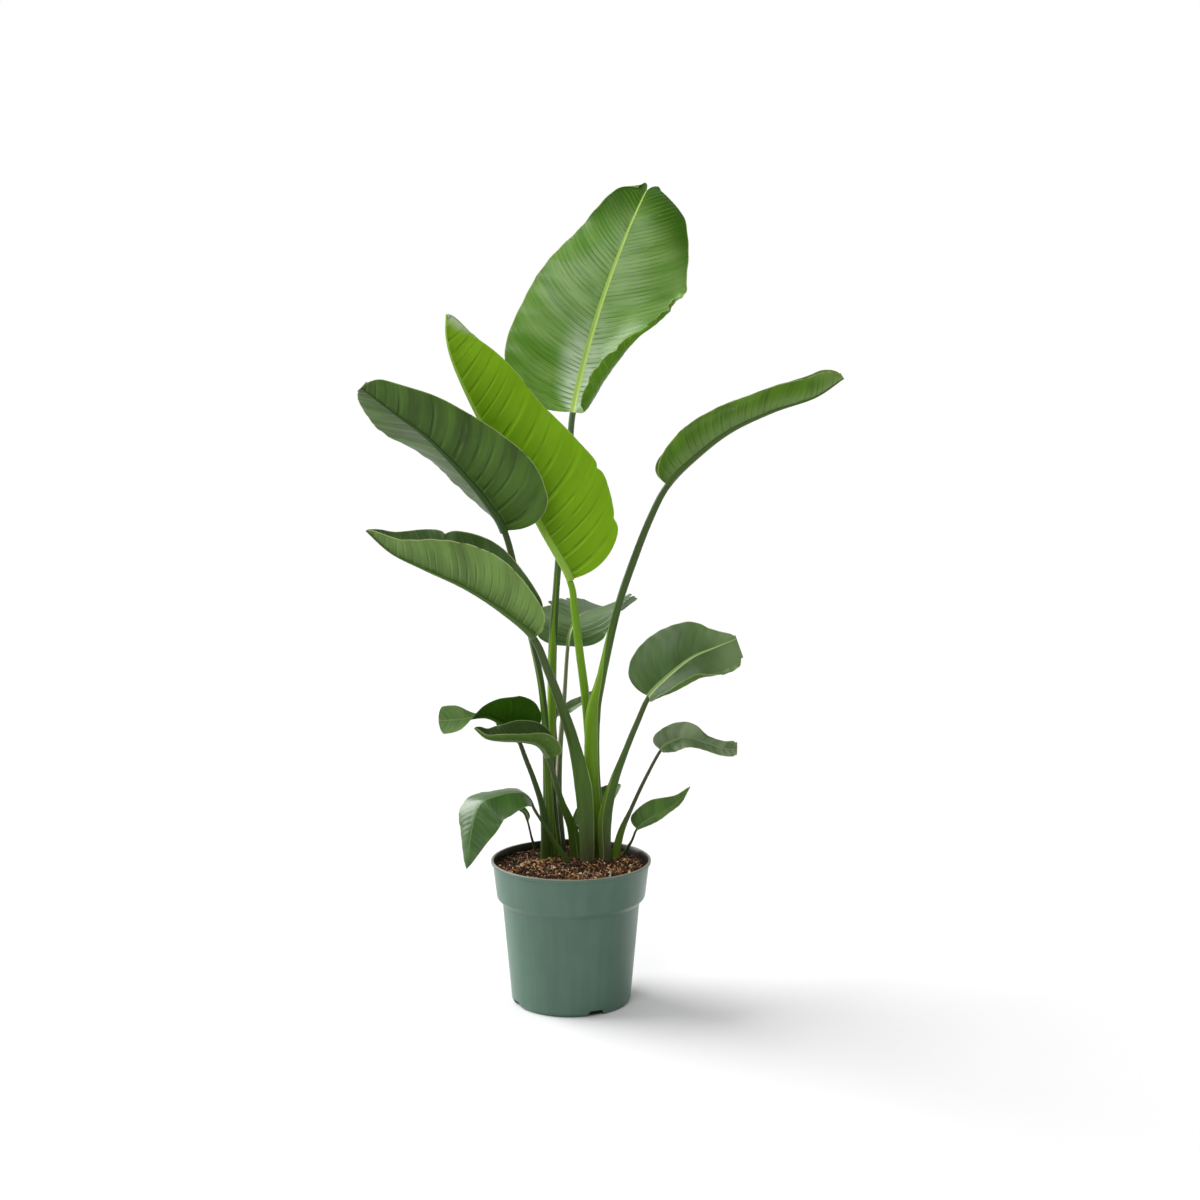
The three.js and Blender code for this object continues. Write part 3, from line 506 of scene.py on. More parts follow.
# foot, path, rib: points in millimetres of the curve of a leaf, on the soil, up its stalk and
# along its midrib. wide, deep: half sizes of the stalk from foot to joint, alike where only wide
# is given. rib_radius: of the midrib at the joint, where it differs from the stalk there.
# half, faces, fold, curl, wave, lobe, notch, blunt: form of the blade, right half first. faces:
# which way its upper side looks. fold, curl: degrees by which a half rises from the midrib and
# bends on from there. wave: height, count and start of its ripples. lobe, notch: how far the
# halves reach back past the joint, and on past the end of the midrib. blunt, tip_length: share
# of the width that is kept at the tip, and share of the length over which the tip rounds in.
LEAVES = {
    "crown": dict(
        foot=(-23, 66),
        path=[
            (-32, 66, 310), (-32, 68, 410), (-30, 70, 555),
            (-24, 74, 650), (-16, 80, 745), (-3, 90, 865),
        ],
        wide=[9, 8, 7.5, 7, 5.5, 5.5, 5, 5],
        rib=[
            (3, 96, 933), (25, 102, 1028), (54, 111, 1122),
            (86, 124, 1207), (111, 140, 1264), (123, 164, 1287),
        ],
        half=[[70, 114, 130, 123, 100, 60], [95, 130, 122, 98, 68, 32]],
        faces=[(-0.15, -1, 0.15), (-0.05, -1, 0.25), (-0.05, -0.9, 0.6)],
        fold=[[15, 6, 10, 8, 6, 8, 10], [-32, -12, 2, 4, 2, 0, 0]],
        curl=[[110, 120, 75, 10, -20, -35, -40], [40, 5, -15, -20, -15, 15]],
        wave=(5, 2.5, 0.4), lobe=(10, 22), notch=9, blunt=0.45, tip_length=0.08,
    ),
    "young": dict(
        foot=(42, 76),
        path=[(38, 76, 307), (30, 74, 390), (23, 68, 474), (14, 54, 550), (6, 38, 620)],
        wide=[9, 8, 7.5, 7, 6.5, 6, 5],
        rib=[
            (-2, 24, 673), (-42, 19, 747), (-88, 15, 831), (-137, 12, 917),
            (-177, 8, 1003), (-190, 6, 1050), (-190, 4, 1087),
        ],
        half=[[86, 100, 96, 88, 66, 22], [88, 111, 125, 112, 96, 84, 58, 18]],
        faces=[(0.95, 0.25, 0.35), (0.95, 0.2, 0.3), (0.9, 0.2, 0.3)],
        fold=[[84, 82, 76], [68, 68, 64]], curl=[[16, 18, 20], [16, 22, 26]],
        wave=(4, 2.2, 0.2), lobe=(10, 10), blunt=0.2, tip_length=0.06,
    ),
    "left_high": dict(
        foot=(-35, 50),
        path=[(-38, 49, 314), (-40, 42, 413), (-47, 26, 505), (-64, 6, 597), (-83, -10, 681)],
        wide=[8, 7.5, 6, 5.5, 5.5, 5, 5],
        rib=[
            (-101, -25, 754), (-126, -30, 797), (-164, -38, 845),
            (-217, -50, 901), (-266, -62, 939), (-314, -74, 977),
        ],
        half=[[35, 65, 85, 92, 82, 34], [72, 95, 86, 68, 51, 26]],
        faces=[(0.35, 0.85, 0.5), (0.3, 0.8, 0.6), (0.2, 0.8, 0.6)],
        fold=[[36, 26, 20], [8, 10, 5]], curl=[[10, 5, 0], [30, 35, 25]],
        wave=(3, 2, 0.9), lobe=(0, 24), blunt=0.5,
    ),
    "left_low": dict(
        foot=(27, 18),
        path=[(25, 17, 281), (20, 15, 346), (4, 5, 418), (-17, -8, 485), (-37, -38, 545)],
        wide=[12, 14, 15, 9.5, 7.5, 6.5, 5.5], deep=[9, 10, 10, 8.5, 7.5, 6.5, 5.5],
        rib=[
            (-57, -70, 596), (-102, -82, 638), (-157, -95, 676),
            (-219, -108, 707), (-267, -120, 733), (-303, -130, 767),
        ],
        rib_radius=5,
        half=[[36, 64, 82, 72, 46, 8], [34, 60, 79, 67, 43, 9]],
        faces=[(0.5, 0, 0.9), (0.35, 0, 0.95), (0.2, 0, 1)],
        fold=[[55, 55, 40], [45, 45, 35]], curl=[[35, 30, 20], [30, 30, 20]],
        wave=(5, 2, 0.9), lobe=(0, 2),
    ),
    "right_high": dict(
        foot=(46, 53),
        path=[
            (40, 52, 280), (33, 50, 363), (35, 46, 453), (49, 42, 519),
            (73, 35, 624), (99, 30, 704), (127, 24, 776),
        ],
        wide=[12, 13, 13, 12, 7.5, 6, 6, 5.5, 5], deep=[8, 8, 8, 8, 7.5, 6, 6, 5.5, 5],
        rib=[
            (152, 20, 823), (190, 12, 863), (246, 4, 907),
            (313, -4, 939), (376, -12, 961), (419, -20, 990),
        ],
        half=[[30, 45, 44, 38, 38, 34], [34, 44, 42, 38, 38, 34]],
        faces=[(-0.6, 0.1, 0.8), (-0.4, 0.1, 0.9), (-0.2, 0, 0.9)],
        fold=[[30, 40, 20], [40, 40, 30]], curl=[[90, 80, 60]] * 2,
        wave=(3, 2, 0.9), lobe=(8, 18), blunt=0.3, tip_length=0.1,
    ),
    "back": dict(
        foot=(-15, 88),
        path=[(-21, 88, 304), (-19, 90, 387), (-12, 94, 470)],
        wide=[6, 5.5, 4.5, 3.5, 3],
        rib=[(-6, 100, 556), (1, 118, 585), (16, 158, 599), (46, 211, 600), (83, 257, 592)],
        half=[[50, 72, 80, 75, 60, 40], [48, 60, 68, 66, 48, 20]],
        faces=[(0, -0.8, 0.6), (0, -0.5, 0.85), (0.2, 0.3, 0.95)],
        fold=[[8, 26, 34, 28], [-8, -8, 0, 4]], curl=[[5, 5, 5, 0]] * 2,
        wave=(2, 3, 0.2), lobe=(4, 8),
    ),
    "right_mid": dict(
        foot=(54, 30),
        path=[(53, 29, 286), (67, 22, 348), (87, 10, 404), (105, 0, 451)],
        wide=[10, 12, 8, 5, 4.5, 4], deep=[7, 7, 7, 5, 4.5, 4],
        rib=[(123, -10, 493), (152, -18, 526), (189, -28, 558), (223, -38, 575), (257, -46, 591)],
        half=[[26, 42, 56, 58, 54, 42], [44, 71, 78, 62, 34, 8]],
        faces=[(-0.45, -0.85, 0.45), (-0.3, -0.85, 0.5), (0.2, -0.85, 0.5)],
        fold=[[10, 0, 0], [5, 5, 0]], curl=[[60, 30, -10], [-15, -20, -30]],
        wave=(3, 2, 0.3), lobe=(14, 26), blunt=0.75,
    ),
    "right_low": dict(
        foot=(70, 43),
        path=[(79, 40, 262), (95, 34, 301), (117, 28, 351)],
        wide=[8, 6, 3.2, 2.8, 2.4], deep=[5, 5, 3.2, 2.8, 2.4],
        rib=[(143, 20, 402), (160, 14, 416), (185, 6, 424), (216, 0, 416), (241, -4, 409), (262, -8, 409)],
        half=[[14, 22, 20, 14, 12, 12], [18, 29, 27, 15, 12, 14]],
        faces=[(-0.3, -0.9, 0.5), (-0.1, -0.8, 0.6), (0.1, -0.9, 0.3)],
        fold=[[20, 10, 0], [20, 40, 10]], curl=[[20, 0, 0], [40, 30, 0]],
        wave=(2, 2, 0.3), lobe=(3, 5), blunt=0.8,
    ),
    "right_small": dict(
        foot=(86, 64),
        path=[(98, 60, 245)],
        wide=[3.5, 2, 1.8],
        rib=[(106, 50, 266), (125, 46, 283), (149, 42, 297), (173, 38, 315), (190, 34, 339)],
        half=[[6, 11, 12, 9, 5, 1], [18, 24, 25, 18, 9, 1]],
        faces=[(-0.3, -0.8, 0.5)],
        fold=[[10], [15]], curl=[[10], [20]],
        wave=(1.5, 2, 0.3), lobe=(1, 4),
    ),
    "left_twisted": dict(
        foot=(-43, 34),
        path=[(-42, 32, 269), (-47, 27, 311), (-60, 16, 357), (-71, 10, 388)],
        wide=[7, 7, 5, 4.2, 3.8, 3.4], deep=[5, 5, 4.8, 4.2, 3.8, 3.4],
        rib=[
            (-82, 6, 419), (-93, 0, 435), (-110, -4, 450),
            (-133, -6, 460), (-168, -8, 457), (-207, -10, 455),
        ],
        half=[[20, 22, 11, 8, 22, 23], [46, 58, 40, 13, 20, 22]],
        faces=[(0.1, 1, 0.2), (0.1, 1, 0.4), (0, 0.5, 1), (-0.1, -0.9, 0.4), (-0.1, -0.9, 0.2)],
        fold=[[10, 20, 10], [10, 20, 0]], curl=[[20, 20, 10]] * 2,
        wave=(2, 2, 0.3), lobe=(6, 6),
    ),
    "left_folded": dict(
        foot=(9, 49),
        path=[(1, 40, 270), (-16, 16, 322), (-27, -6, 367)],
        wide=[12, 8, 5, 4, 3.5], deep=[7, 6, 5, 4, 3.5],
        rib=[
            (-37, -20, 399), (-51, -30, 420), (-76, -38, 428),
            (-106, -44, 430), (-131, -48, 435), (-149, -50, 451),
        ],
        half=[[20, 32, 32, 26, 18, 6], [24, 29, 21, 16, 12, 5]],
        faces=[(0.4, 0, 0.9), (0.1, 0, 1), (0, 0, 1)],
        fold=[[50, 62, 55], [40, 38, 30]], curl=[[10, 10, 10], [20, 15, 10]],
        wave=(2, 2, 0.3), lobe=(2, 10),
    ),
    "left_hanging": dict(
        foot=(-5, 12),
        path=[(-24, 8, 252), (-43, -4, 287), (-57, -12, 312)],
        wide=[5, 3.6, 2.6, 2.4, 2.2],
        rib=[
            (-66, -20, 333), (-83, -30, 344), (-113, -44, 342),
            (-141, -56, 331), (-153, -66, 293), (-161, -72, 233),
        ],
        half=[[24, 34, 40, 36, 20, 2], [24, 38, 47, 44, 24, 2]],
        faces=[(0.1, -0.3, 0.95), (-0.2, -0.5, 0.8), (-0.5, -0.85, 0.1)],
        fold=[[-10, -10, 0], [0, -10, -10]], curl=[[-20, -20, -20]] * 2,
        wave=(2, 2, 0.3), lobe=(14, 18),
    ),
    "left_tiny": dict(
        foot=(-60, 86),
        path=[(-66, 82, 246)],
        wide=[2.5, 1.8, 1.6],
        rib=[(-72, 75, 274), (-79, 70, 289), (-93, 64, 295), (-110, 58, 292)],
        half=[[5, 8, 9, 7, 4, 1]] * 2,
        faces=[(0, -0.3, 0.95)],
        fold=[[30]] * 2, curl=[[10]] * 2,
        wave=(0.5, 2, 0.3), lobe=(1, 1),
    ),
    "back_small": dict(
        foot=(-20, 104),
        path=[(-20, 111, 298), (-24, 118, 373)],
        wide=[4, 3.2, 2.6, 2.2],
        rib=[(-26, 120, 437), (-3, 118, 451), (20, 116, 465), (46, 114, 485)],
        half=[[5, 9, 10, 8, 5, 1]] * 2,
        faces=[(0.3, -0.7, 0.6)],
        fold=[[20]] * 2, curl=[[10]] * 2,
        wave=(1, 2, 0.3), lobe=(1, 1),
    ),
    "back_sprout": dict(
        foot=(14, 94),
        path=[(8, 92, 237)],
        wide=[5, 4, 3.5],
        rib=[(9, 91, 261), (30, 103, 284), (54, 108, 304), (80, 110, 325)],
        rib_radius=3,
        half=[[10, 17, 20, 19, 14, 4]] * 2,
        faces=[(-0.3, -0.8, 0.5)],
        fold=[[10]] * 2, curl=[[10]] * 2,
        wave=(1, 2, 0.3), lobe=(1, 1),
    ),
}

# mouth: which way the opening of the sheath looks, and reach: how far it goes to each side of
# that, in degrees from +X, at even steps up the stalk. skin, dusk: colours of the stalk below
# and towards the joint. inner, foot: colours inside the opening and where it leaves the soil,
# MOUTH_GREEN and FOOT_GREEN if not given.
STALK_GREEN = (0.06, 0.13, 0.013)
STALK_DARK = (0.036, 0.075, 0.01)
STALK_BRIGHT = (0.15, 0.31, 0.008)
STALK_GREY = (0.17, 0.2, 0.1)
STALK_BROWN = (0.055, 0.062, 0.03)
STALK_DUSK = (0.045, 0.065, 0.022)
MOUTH_YELLOW = (0.16, 0.32, 0.008)
MOUTH_GREEN = (0.11, 0.22, 0.015)
FOOT_PURPLE = (0.07, 0.068, 0.04)
FOOT_GREEN = (0.045, 0.075, 0.012)
EDGE_PALE = (0.28, 0.36, 0.1)

STALK_LOOKS = {
    "crown": dict(
        skin=STALK_DARK, inner=MOUTH_YELLOW,
        mouth=[215, 225, 240, 255, 262, 250, 200, 170], reach=[75, 60, 65, 80, 22, 8, 8, 8],
        dusk=(0.1, 0.15, 0.075),
    ),
    "young": dict(
        skin=STALK_BRIGHT, inner=STALK_BRIGHT, foot=MOUTH_YELLOW,
        mouth=[20], reach=[60, 40, 25, 18, 14], dusk=STALK_BRIGHT,
    ),
    "left_high": dict(
        skin=STALK_DARK, mouth=[300, 290, 250, 200, 180], reach=[60, 45, 30, 18, 10],
    ),
    "left_low": dict(
        skin=STALK_GREEN, inner=MOUTH_YELLOW, foot=FOOT_PURPLE,
        mouth=[355, 370, 377, 374, 366, 375, 388, 394, 400, 410, 420],
        reach=[55, 55, 55, 50, 40, 30, 20, 14, 10, 8, 8],
    ),
    "right_high": dict(
        skin=STALK_GREEN, inner=MOUTH_YELLOW, foot=FOOT_PURPLE,
        mouth=[235, 238, 240, 235, 180, 140, 120], reach=[70, 75, 78, 42, 10, 8, 8],
    ),
    "back": dict(
        skin=STALK_GREY, inner=(0.25, 0.2, 0.14), foot=FOOT_PURPLE,
        mouth=[200], reach=[50, 40, 30, 22, 14], dusk=STALK_GREY,
    ),
    "right_mid": dict(
        skin=STALK_GREEN, foot=FOOT_PURPLE,
        mouth=[190, 195, 185, 150, 120], reach=[60, 62, 48, 18, 10],
    ),
    "right_low": dict(
        skin=STALK_BROWN, foot=MOUTH_GREEN,
        mouth=[170, 170, 150, 130], reach=[60, 40, 14, 10],
    ),
    "right_small": dict(skin=STALK_BROWN, mouth=[150], reach=[40, 14]),
    "left_twisted": dict(
        skin=STALK_DARK, mouth=[20, 10, 30, 60], reach=[50, 30, 14, 8],
    ),
    "left_folded": dict(
        skin=STALK_GREEN, mouth=[330, 320, 390, 420], reach=[50, 30, 14, 8],
    ),
    "left_hanging": dict(skin=STALK_GREEN, mouth=[30], reach=[60, 30, 14, 10]),
    "left_tiny": dict(skin=STALK_BROWN, mouth=[30], reach=[30, 10]),
    "back_small": dict(skin=STALK_GREY, mouth=[0], reach=[40, 10]),
    "back_sprout": dict(skin=STALK_GREEN, mouth=[0], reach=[40, 10]),
}


def run(values, shares):
    """Evenly spaced values read at shares of their length: a uniform Catmull-Rom curve, whose
    tangent at a value is half the difference of its neighbours, carried straight on at its ends."""
    values = np.array(values, float)
    shares = np.asarray(shares, float)
    if len(values) == 1:
        return np.zeros(shares.shape + values.shape[1:]) + values[0]
    ends = np.concatenate([[2 * values[0] - values[1]], values, [2 * values[-1] - values[-2]]])
    place = np.clip(shares, 0, 1) * (len(values) - 1)
    i = np.minimum(place.astype(int), len(values) - 2)
    f = (place - i).reshape(shares.shape + (1,) * (values.ndim - 1))
    a, b, c, d = (ends[i + k] for k in range(4))
    bend = (2 * a - 5 * b + 4 * c - d) * f**2 + (3 * b - a - 3 * c + d) * f**3
    return 0.5 * (2 * b + (c - a) * f + bend)


def unit(vectors):
    """Vectors divided by their lengths."""
    return vectors / np.linalg.norm(vectors, axis=-1, keepdims=True)


class LeafLine:
    """The curve of a leaf, from the buried foot of its stalk through the joint to the tip of
    its blade, read by length: places and directions are interpolated between fine steps."""

    def __init__(self, leaf):
        x, y = leaf["foot"]
        points = [(x, y, STALK_FOOT), (x, y, SOIL_LEVEL), *leaf["path"], *leaf["rib"]]
        self.fine = run(points, np.linspace(0, 1, (len(points) - 1) * SPAN_STEPS + 1))
        steps = np.linalg.norm(np.diff(self.fine, axis=0), axis=1)
        self.lengths = np.concatenate([[0], np.cumsum(steps)])
        self.at_points = self.lengths[::SPAN_STEPS]
        self.joint = self.at_points[2 + len(leaf["path"])]
        self.total = self.lengths[-1]

    def place(self, length):
        return np.stack([np.interp(length, self.lengths, self.fine[:, k]) for k in range(3)], -1)

    def along(self, length):
        slopes = np.gradient(self.fine, self.lengths, axis=0)
        return unit(np.stack([np.interp(length, self.lengths, slopes[:, k]) for k in range(3)], -1))


def stalk_skin(leaf, look, rings, sides):
    """Oval rings along the curve. Inside the sheath's mouth, the angles within its reach of the
    way it looks, the wall is sunk by up to a seventh of its radius; a thin lip stands at its edge.
    Returns the points and what each notes: its place, along, around and how far inside the
    mouth, its share of the way to the joint, and the mouth's half width there."""
    line = LeafLine(leaf)
    length = np.linspace(0, 1, rings) ** 1.1 * (line.joint - JOINT_GAP)
    shares = length / line.joint
    centre, along = line.place(length), line.along(length)
    right = unit(np.array([1.0, 0, 0]) - along[:, :1] * along)
    away = np.cross(along, right)
    knots = line.at_points[: len(leaf["wide"]) + 1]
    both = leaf["wide"], leaf.get("deep", leaf["wide"])
    wide, deep = (np.interp(length, knots, [sizes[0], *sizes])[:, None] for sizes in both)
    angle = np.linspace(0, 2 * math.pi, sides, endpoint=False)[None, :]
    looks = np.radians(run(look["mouth"], shares))[:, None]
    reach = np.radians(run(look["reach"], shares))[:, None]
    turn = np.abs((angle - looks + math.pi) % (2 * math.pi) - math.pi)
    inside = (reach - turn) * (wide + deep) / 2
    sunk = 1 / (1 + np.exp(-np.clip(inside / 0.5, -30, 30)))
    lip = np.exp(-((inside + 0.5) / 0.7) ** 2)
    broad = 0.006 * np.sin(17 * angle + 3 * shares[:, None])
    fine = 0.004 * np.sin(29 * angle - 5 * shares[:, None])
    size = 1 - MOUTH_DEPTH * sunk + LIP_RISE * lip + (broad + fine)
    points = (
        centre[:, None, :]
        + (wide * size * np.cos(angle))[..., None] * right[:, None, :]
        + (deep * size * np.sin(angle))[..., None] * away[:, None, :]
    )
    around = angle * (wide + deep) / 2
    place = np.stack([length[:, None] + 0 * around, around, inside], -1)
    mouth = (reach * (wide + deep) / 2).ravel()
    return points, {
        "place": place.reshape(-1, 3),
        "share": np.repeat(shares, sides),
        "mouth": np.repeat(mouth, sides),
    }


def tinted(colour, factor, more=0.0):
    """A colour with each part multiplied by a factor and raised a little."""
    return tuple(factor * part + more for part in colour)


def stalk_flesh(name, look):
    """Waxy green skin: faintly striped along its length, darker or purple at the foot, duller
    towards the joint, and paler inside the sheath's mouth. A wide mouth has a thin pale edge."""
    skin, inner, foot = look["skin"], look.get("inner", MOUTH_GREEN), look.get("foot", FOOT_GREEN)
    material, tree, shader = new_material(name)
    place = noted(tree, "place", "Vector")
    along, _, inside = split(place)
    thin = noise(place, 1.0, 2, stretch=(0.012, 0.9, 0))
    thick = noise(place, 1.0, 2, stretch=(0.006, 0.16, 0))
    cloud = noise(place, 1.0, 3, stretch=(0.012, 0.05, 0))
    colour = mixed(stepped(thick, 0.35, 0.65), tinted(skin, 0.75), skin)
    upward = stepped(noted(tree, "share"), 0.45, 0.85, 0.0, 0.7)
    colour = mixed(upward, colour, look.get("dusk", STALK_DUSK))
    colour = mixed(stepped(along + thick * 60, 60, 190, 0.85, 0.0), colour, foot)
    paler = mixed(stepped(cloud, 0.3, 0.7), inner, tinted(inner, 0.75))
    paler = mixed(stepped(along, 50, 130, 0.7, 0.0), paler, foot)
    colour = mixed(stepped(inside, -0.6, 1.2) * 0.9, colour, paler)
    colour = mixed(stepped(thin, 0.5, 0.8, 0.0, 0.08), colour, EDGE_PALE)
    edge = stepped(reckoned("ABSOLUTE", inside + 0.4), 0.3, 0.85, 0.8, 0.0)
    colour = mixed(edge * stepped(noted(tree, "mouth"), 2.5, 5.5), colour, EDGE_PALE)
    surfaced(shader, colour, stepped(cloud, 0.3, 0.7, 0.28, 0.4), 0.2)
    bumped(shader, thin * 0.5 + thick, 0.2, 0.8 * MM)
    return material


for name, leaf in LEAVES.items():
    look = STALK_LOOKS[name]
    rings, sides = LONG_STALK_GRID if len(leaf["path"]) > 4 else SHORT_STALK_GRID
    points, notes = stalk_skin(leaf, look, rings, sides)
    stalk = add_piece(f"petiole_{name}", points, tube_faces(rings, sides), notes=notes)
    stalk.data.set_sharp_from_angle(angle=math.radians(50))
    stalk.data.materials.append(stalk_flesh(f"stalk_{name}", look))
    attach(stalk, "root")
    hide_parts(f"stalk_{name}")


# ---- Blades ----
# Leathery paddle-shaped blades, each folded up from a stout midrib. Hundreds of side veins
# run from the midrib to the edge, pleat the blade lightly, and let it split or dip between them.
BLADE_THICKNESS = 0.8
EDGE_THICKNESS = 0.35
BASE_ROUNDING = 0.1
TIP_ROUNDING = 0.06
ROLL_WIDTH = 27
RIB_SINK = 1.5
RIB_TAPER = 0.85
LEAST_MARGIN = 0.4
RIB_STRIPS = 6
BROAD_HALF = 60
BROAD_BLADE_GRID = (320, 52)
NARROW_BLADE_GRID = (160, 32)

# upper, under: colours of the two sides. rib: colour of the midrib above and below. All three
# are those of a small plain leaf if not given. rib_width: reach of that colour, in midrib radii.
# pleats: height and spacing of the pleats, height of the swelling between them, and how strong
# their painted lines are: painted shade in the valleys and a painted highlight on the ridges.
# glow: share of light that comes through. gloss, coat: shine of the skin and of the wax above.
# tip: its colour, how much of it shows, and where it starts and is full.
# rim, lines: how pale the edge and the fine lines between the pleats are.
# dips: half (0 right, 1 left), place along the blade, depth and width of dips in its edge.
# roll, ragged: degrees by which the last strip of each half is rolled in, and how unevenly.
# spread, inward: how much the tone below varies, and the tone it takes towards the midrib, which is
# painted light: darker, painted shade, unless a leaf gives a paler tone for a painted sheen.
# bloom: how much of a pale grey painted sheen shows above, on the lower half of the blade, beside the
# midrib.
LEAF_MID = (0.105, 0.225, 0.032)
LEAF_DEEP = (0.05, 0.115, 0.016)
LEAF_GREY = (0.13, 0.2, 0.075)
# Pale grey of the painted sheen beside the midrib.
LEAF_PAINTED_SHEEN = (0.6, 0.7, 0.55)
RIB_YELLOW = (0.36, 0.5, 0.12)
RIB_GREEN = (0.14, 0.24, 0.05)
RIM_PALE = (0.42, 0.5, 0.2)
RIM_BROWN = (0.16, 0.13, 0.05)
BLEMISH = (0.42, 0.46, 0.28)
LIGHT_THROUGH = (0.35, 0.6, 0.02)

BLADE_LOOKS = {
    "crown": dict(
        # The crown's paler upper tone is grey-green: partly a lighter green, partly a painted sheen in the
        # bands along its veins.
        upper=((0.075, 0.225, 0.005), (0.2, 0.36, 0.075)), under=(0.085, 0.21, 0.006),
        rib=((0.46, 0.66, 0.13), (0.09, 0.15, 0.03)), pleats=(0.85, 7.5, 0.5, 1.0), glow=0.16, rim=0.9,
        # Painted shade: the crown's dark tip, where the blade bends back away from the light.
        coat=0.7, tip=((0.04, 0.12, 0.003), 0.95, 0.57, 0.84), rib_width=1.15, lines=0.3, painted_sheen=1.0,
        roll=([60, 58, 60, 72, 100, 135, 140, 70, 0, 0, 0, 0, 0], [0]), ragged=1,
    ),
    "young": dict(
        upper=((0.13, 0.3, 0.012), (0.2, 0.4, 0.02)), under=(0.235, 0.46, 0.012),
        rib=((0.4, 0.55, 0.1), (0.33, 0.52, 0.08)), pleats=(2.1, 25, 0.35, 0.7), glow=0.3, spread=0.08,
        dips=[(1, 0.3, 5, 0.012), (1, 0.12, 4, 0.015)], gloss=0.08, rim=0.8,
        # The pale tip: a pale, thin tip, and partly a painted highlight along its curled end.
        tip=((0.6, 0.65, 0.5), 0.85, 0.88, 0.99),
    ),
    "left_high": dict(
        upper=(LEAF_DEEP, LEAF_MID), under=(0.053, 0.113, 0.013),
        rib=(RIB_YELLOW, (0.035, 0.075, 0.015)), pleats=(2.0, 23, 0.5, 1.0), glow=0.08, spread=0.4,
        dips=[(0, 0.42, 4, 0.012)], gloss=0.24, tip=((0.4, 0.34, 0.22), 0.7, 0.965, 1.0),
    ),
    "left_low": dict(
        upper=((0.04, 0.1, 0.018), (0.08, 0.16, 0.035)), under=(0.13, 0.225, 0.05),
        rib=(RIB_YELLOW, (0.07, 0.13, 0.025)), pleats=(0.8, 12, 0.5, 0.75), glow=0.1, spread=0.3,
        # Painted shade below, towards the midrib.
        rib_side_painted_light=(0.06, 0.12, 0.016),
        dips=[(0, 0.62, 7, 0.02)], rim=0.9, gloss=0.22,
    ),
    "right_high": dict(
        # Paler below towards the midrib: a painted sheen.
        upper=(LEAF_DEEP, LEAF_MID), under=(0.07, 0.16, 0.008), rib_side_painted_light=(0.22, 0.32, 0.12),
        rib=(RIB_YELLOW, (0.06, 0.11, 0.02)), pleats=(0.8, 11, 0.4, 0.7), glow=0.1, spread=0.3,
        tip=((0.2, 0.32, 0.08), 0.6, 0.8, 0.97),
    ),
    "back": dict(
        upper=((0.045, 0.1, 0.018), (0.085, 0.155, 0.045)), under=(0.05, 0.1, 0.025),
        rib=((0.25, 0.36, 0.1), (0.14, 0.2, 0.08)), pleats=(0.9, 9, 0.4, 1.0), glow=0.12, lines=0.5,
        dips=[
            (0, 0.5, 9, 0.02), (0, 0.58, 14, 0.014), (0, 0.7, 7, 0.02), (0, 0.78, 12, 0.012),
            (1, 0.4, 12, 0.02), (1, 0.47, 20, 0.012), (1, 0.55, 9, 0.02), (1, 0.62, 17, 0.012),
            (1, 0.7, 8, 0.02),
        ],
    ),
    "right_mid": dict(
        upper=((0.031, 0.071, 0.011), (0.05, 0.105, 0.02)), under=(0.075, 0.15, 0.02),
        rib=((0.26, 0.36, 0.12), (0.12, 0.18, 0.06)), pleats=(0.15, 12, 0.3, 0.1), glow=0.06,
        gloss=0.2, coat=0.1, rim=0.5, roll=([0, 60, 100, 110, 70, 0], [0]), ragged=0.15,
        # The paler tip is a painted sheen over the outer half of the blade.
        tip=((0.13, 0.2, 0.07), 0.7, 0.5, 0.85),
    ),
    "right_low": dict(
        # The pale upper tone: partly a grey-green of the blade, partly a painted sheen.
        upper=((0.05, 0.1, 0.022), (0.22, 0.3, 0.15)), under=(0.12, 0.19, 0.07),
        rib=((0.2, 0.29, 0.12), (0.12, 0.18, 0.06)), pleats=(0.35, 8, 0.3, 0.3), glow=0.1,
        coat=0.5, tip=((0.3, 0.27, 0.14), 0.6, 0.92, 1.0), rim=0.3,
    ),
    "right_small": dict(pleats=(0.25, 6, 0.2, 0.3), glow=0.15, rim=0.3),
    "left_twisted": dict(
        upper=((0.09, 0.18, 0.04), (0.15, 0.25, 0.08)), under=(0.02, 0.07, 0.0015),
        rib=((0.2, 0.3, 0.08), (0.03, 0.08, 0.005)), pleats=(0.3, 8, 0.3, 0.3), glow=0.06,
        gloss=0.04, coat=0.2, rim=0.25,
    ),
    "left_folded": dict(
        # The dark upper tone is painted shade on the inner side of the fold.
        upper=((0.02, 0.05, 0.004), (0.035, 0.08, 0.008)), under=(0.075, 0.14, 0.025),
        rib=((0.1, 0.18, 0.03), LEAF_GREY), pleats=(0.3, 8, 0.3, 0.3), glow=0.05, gloss=0.1, rim=0.45,
    ),
    "left_hanging": dict(
        upper=((0.024, 0.08, 0.005), (0.05, 0.135, 0.012)), under=LEAF_GREY,
        rib=((0.1, 0.2, 0.035), LEAF_GREY), pleats=(0.3, 8, 0.3, 0.15), glow=0.12, coat=1.0, rim=0.35,
    ),
    "left_tiny": dict(pleats=(0.1, 5, 0.1, 0.3), glow=0.2, rim=0.3),
    "back_small": dict(
        upper=((0.14, 0.21, 0.09), (0.2, 0.28, 0.14)), under=(0.16, 0.22, 0.11),
        rib=(LEAF_GREY, LEAF_GREY), pleats=(0.1, 5, 0.1, 0.3), glow=0.2, rim=0.3,
    ),
    "back_sprout": dict(pleats=(0.2, 6, 0.2, 0.3), glow=0.15, rim=0.3),
}


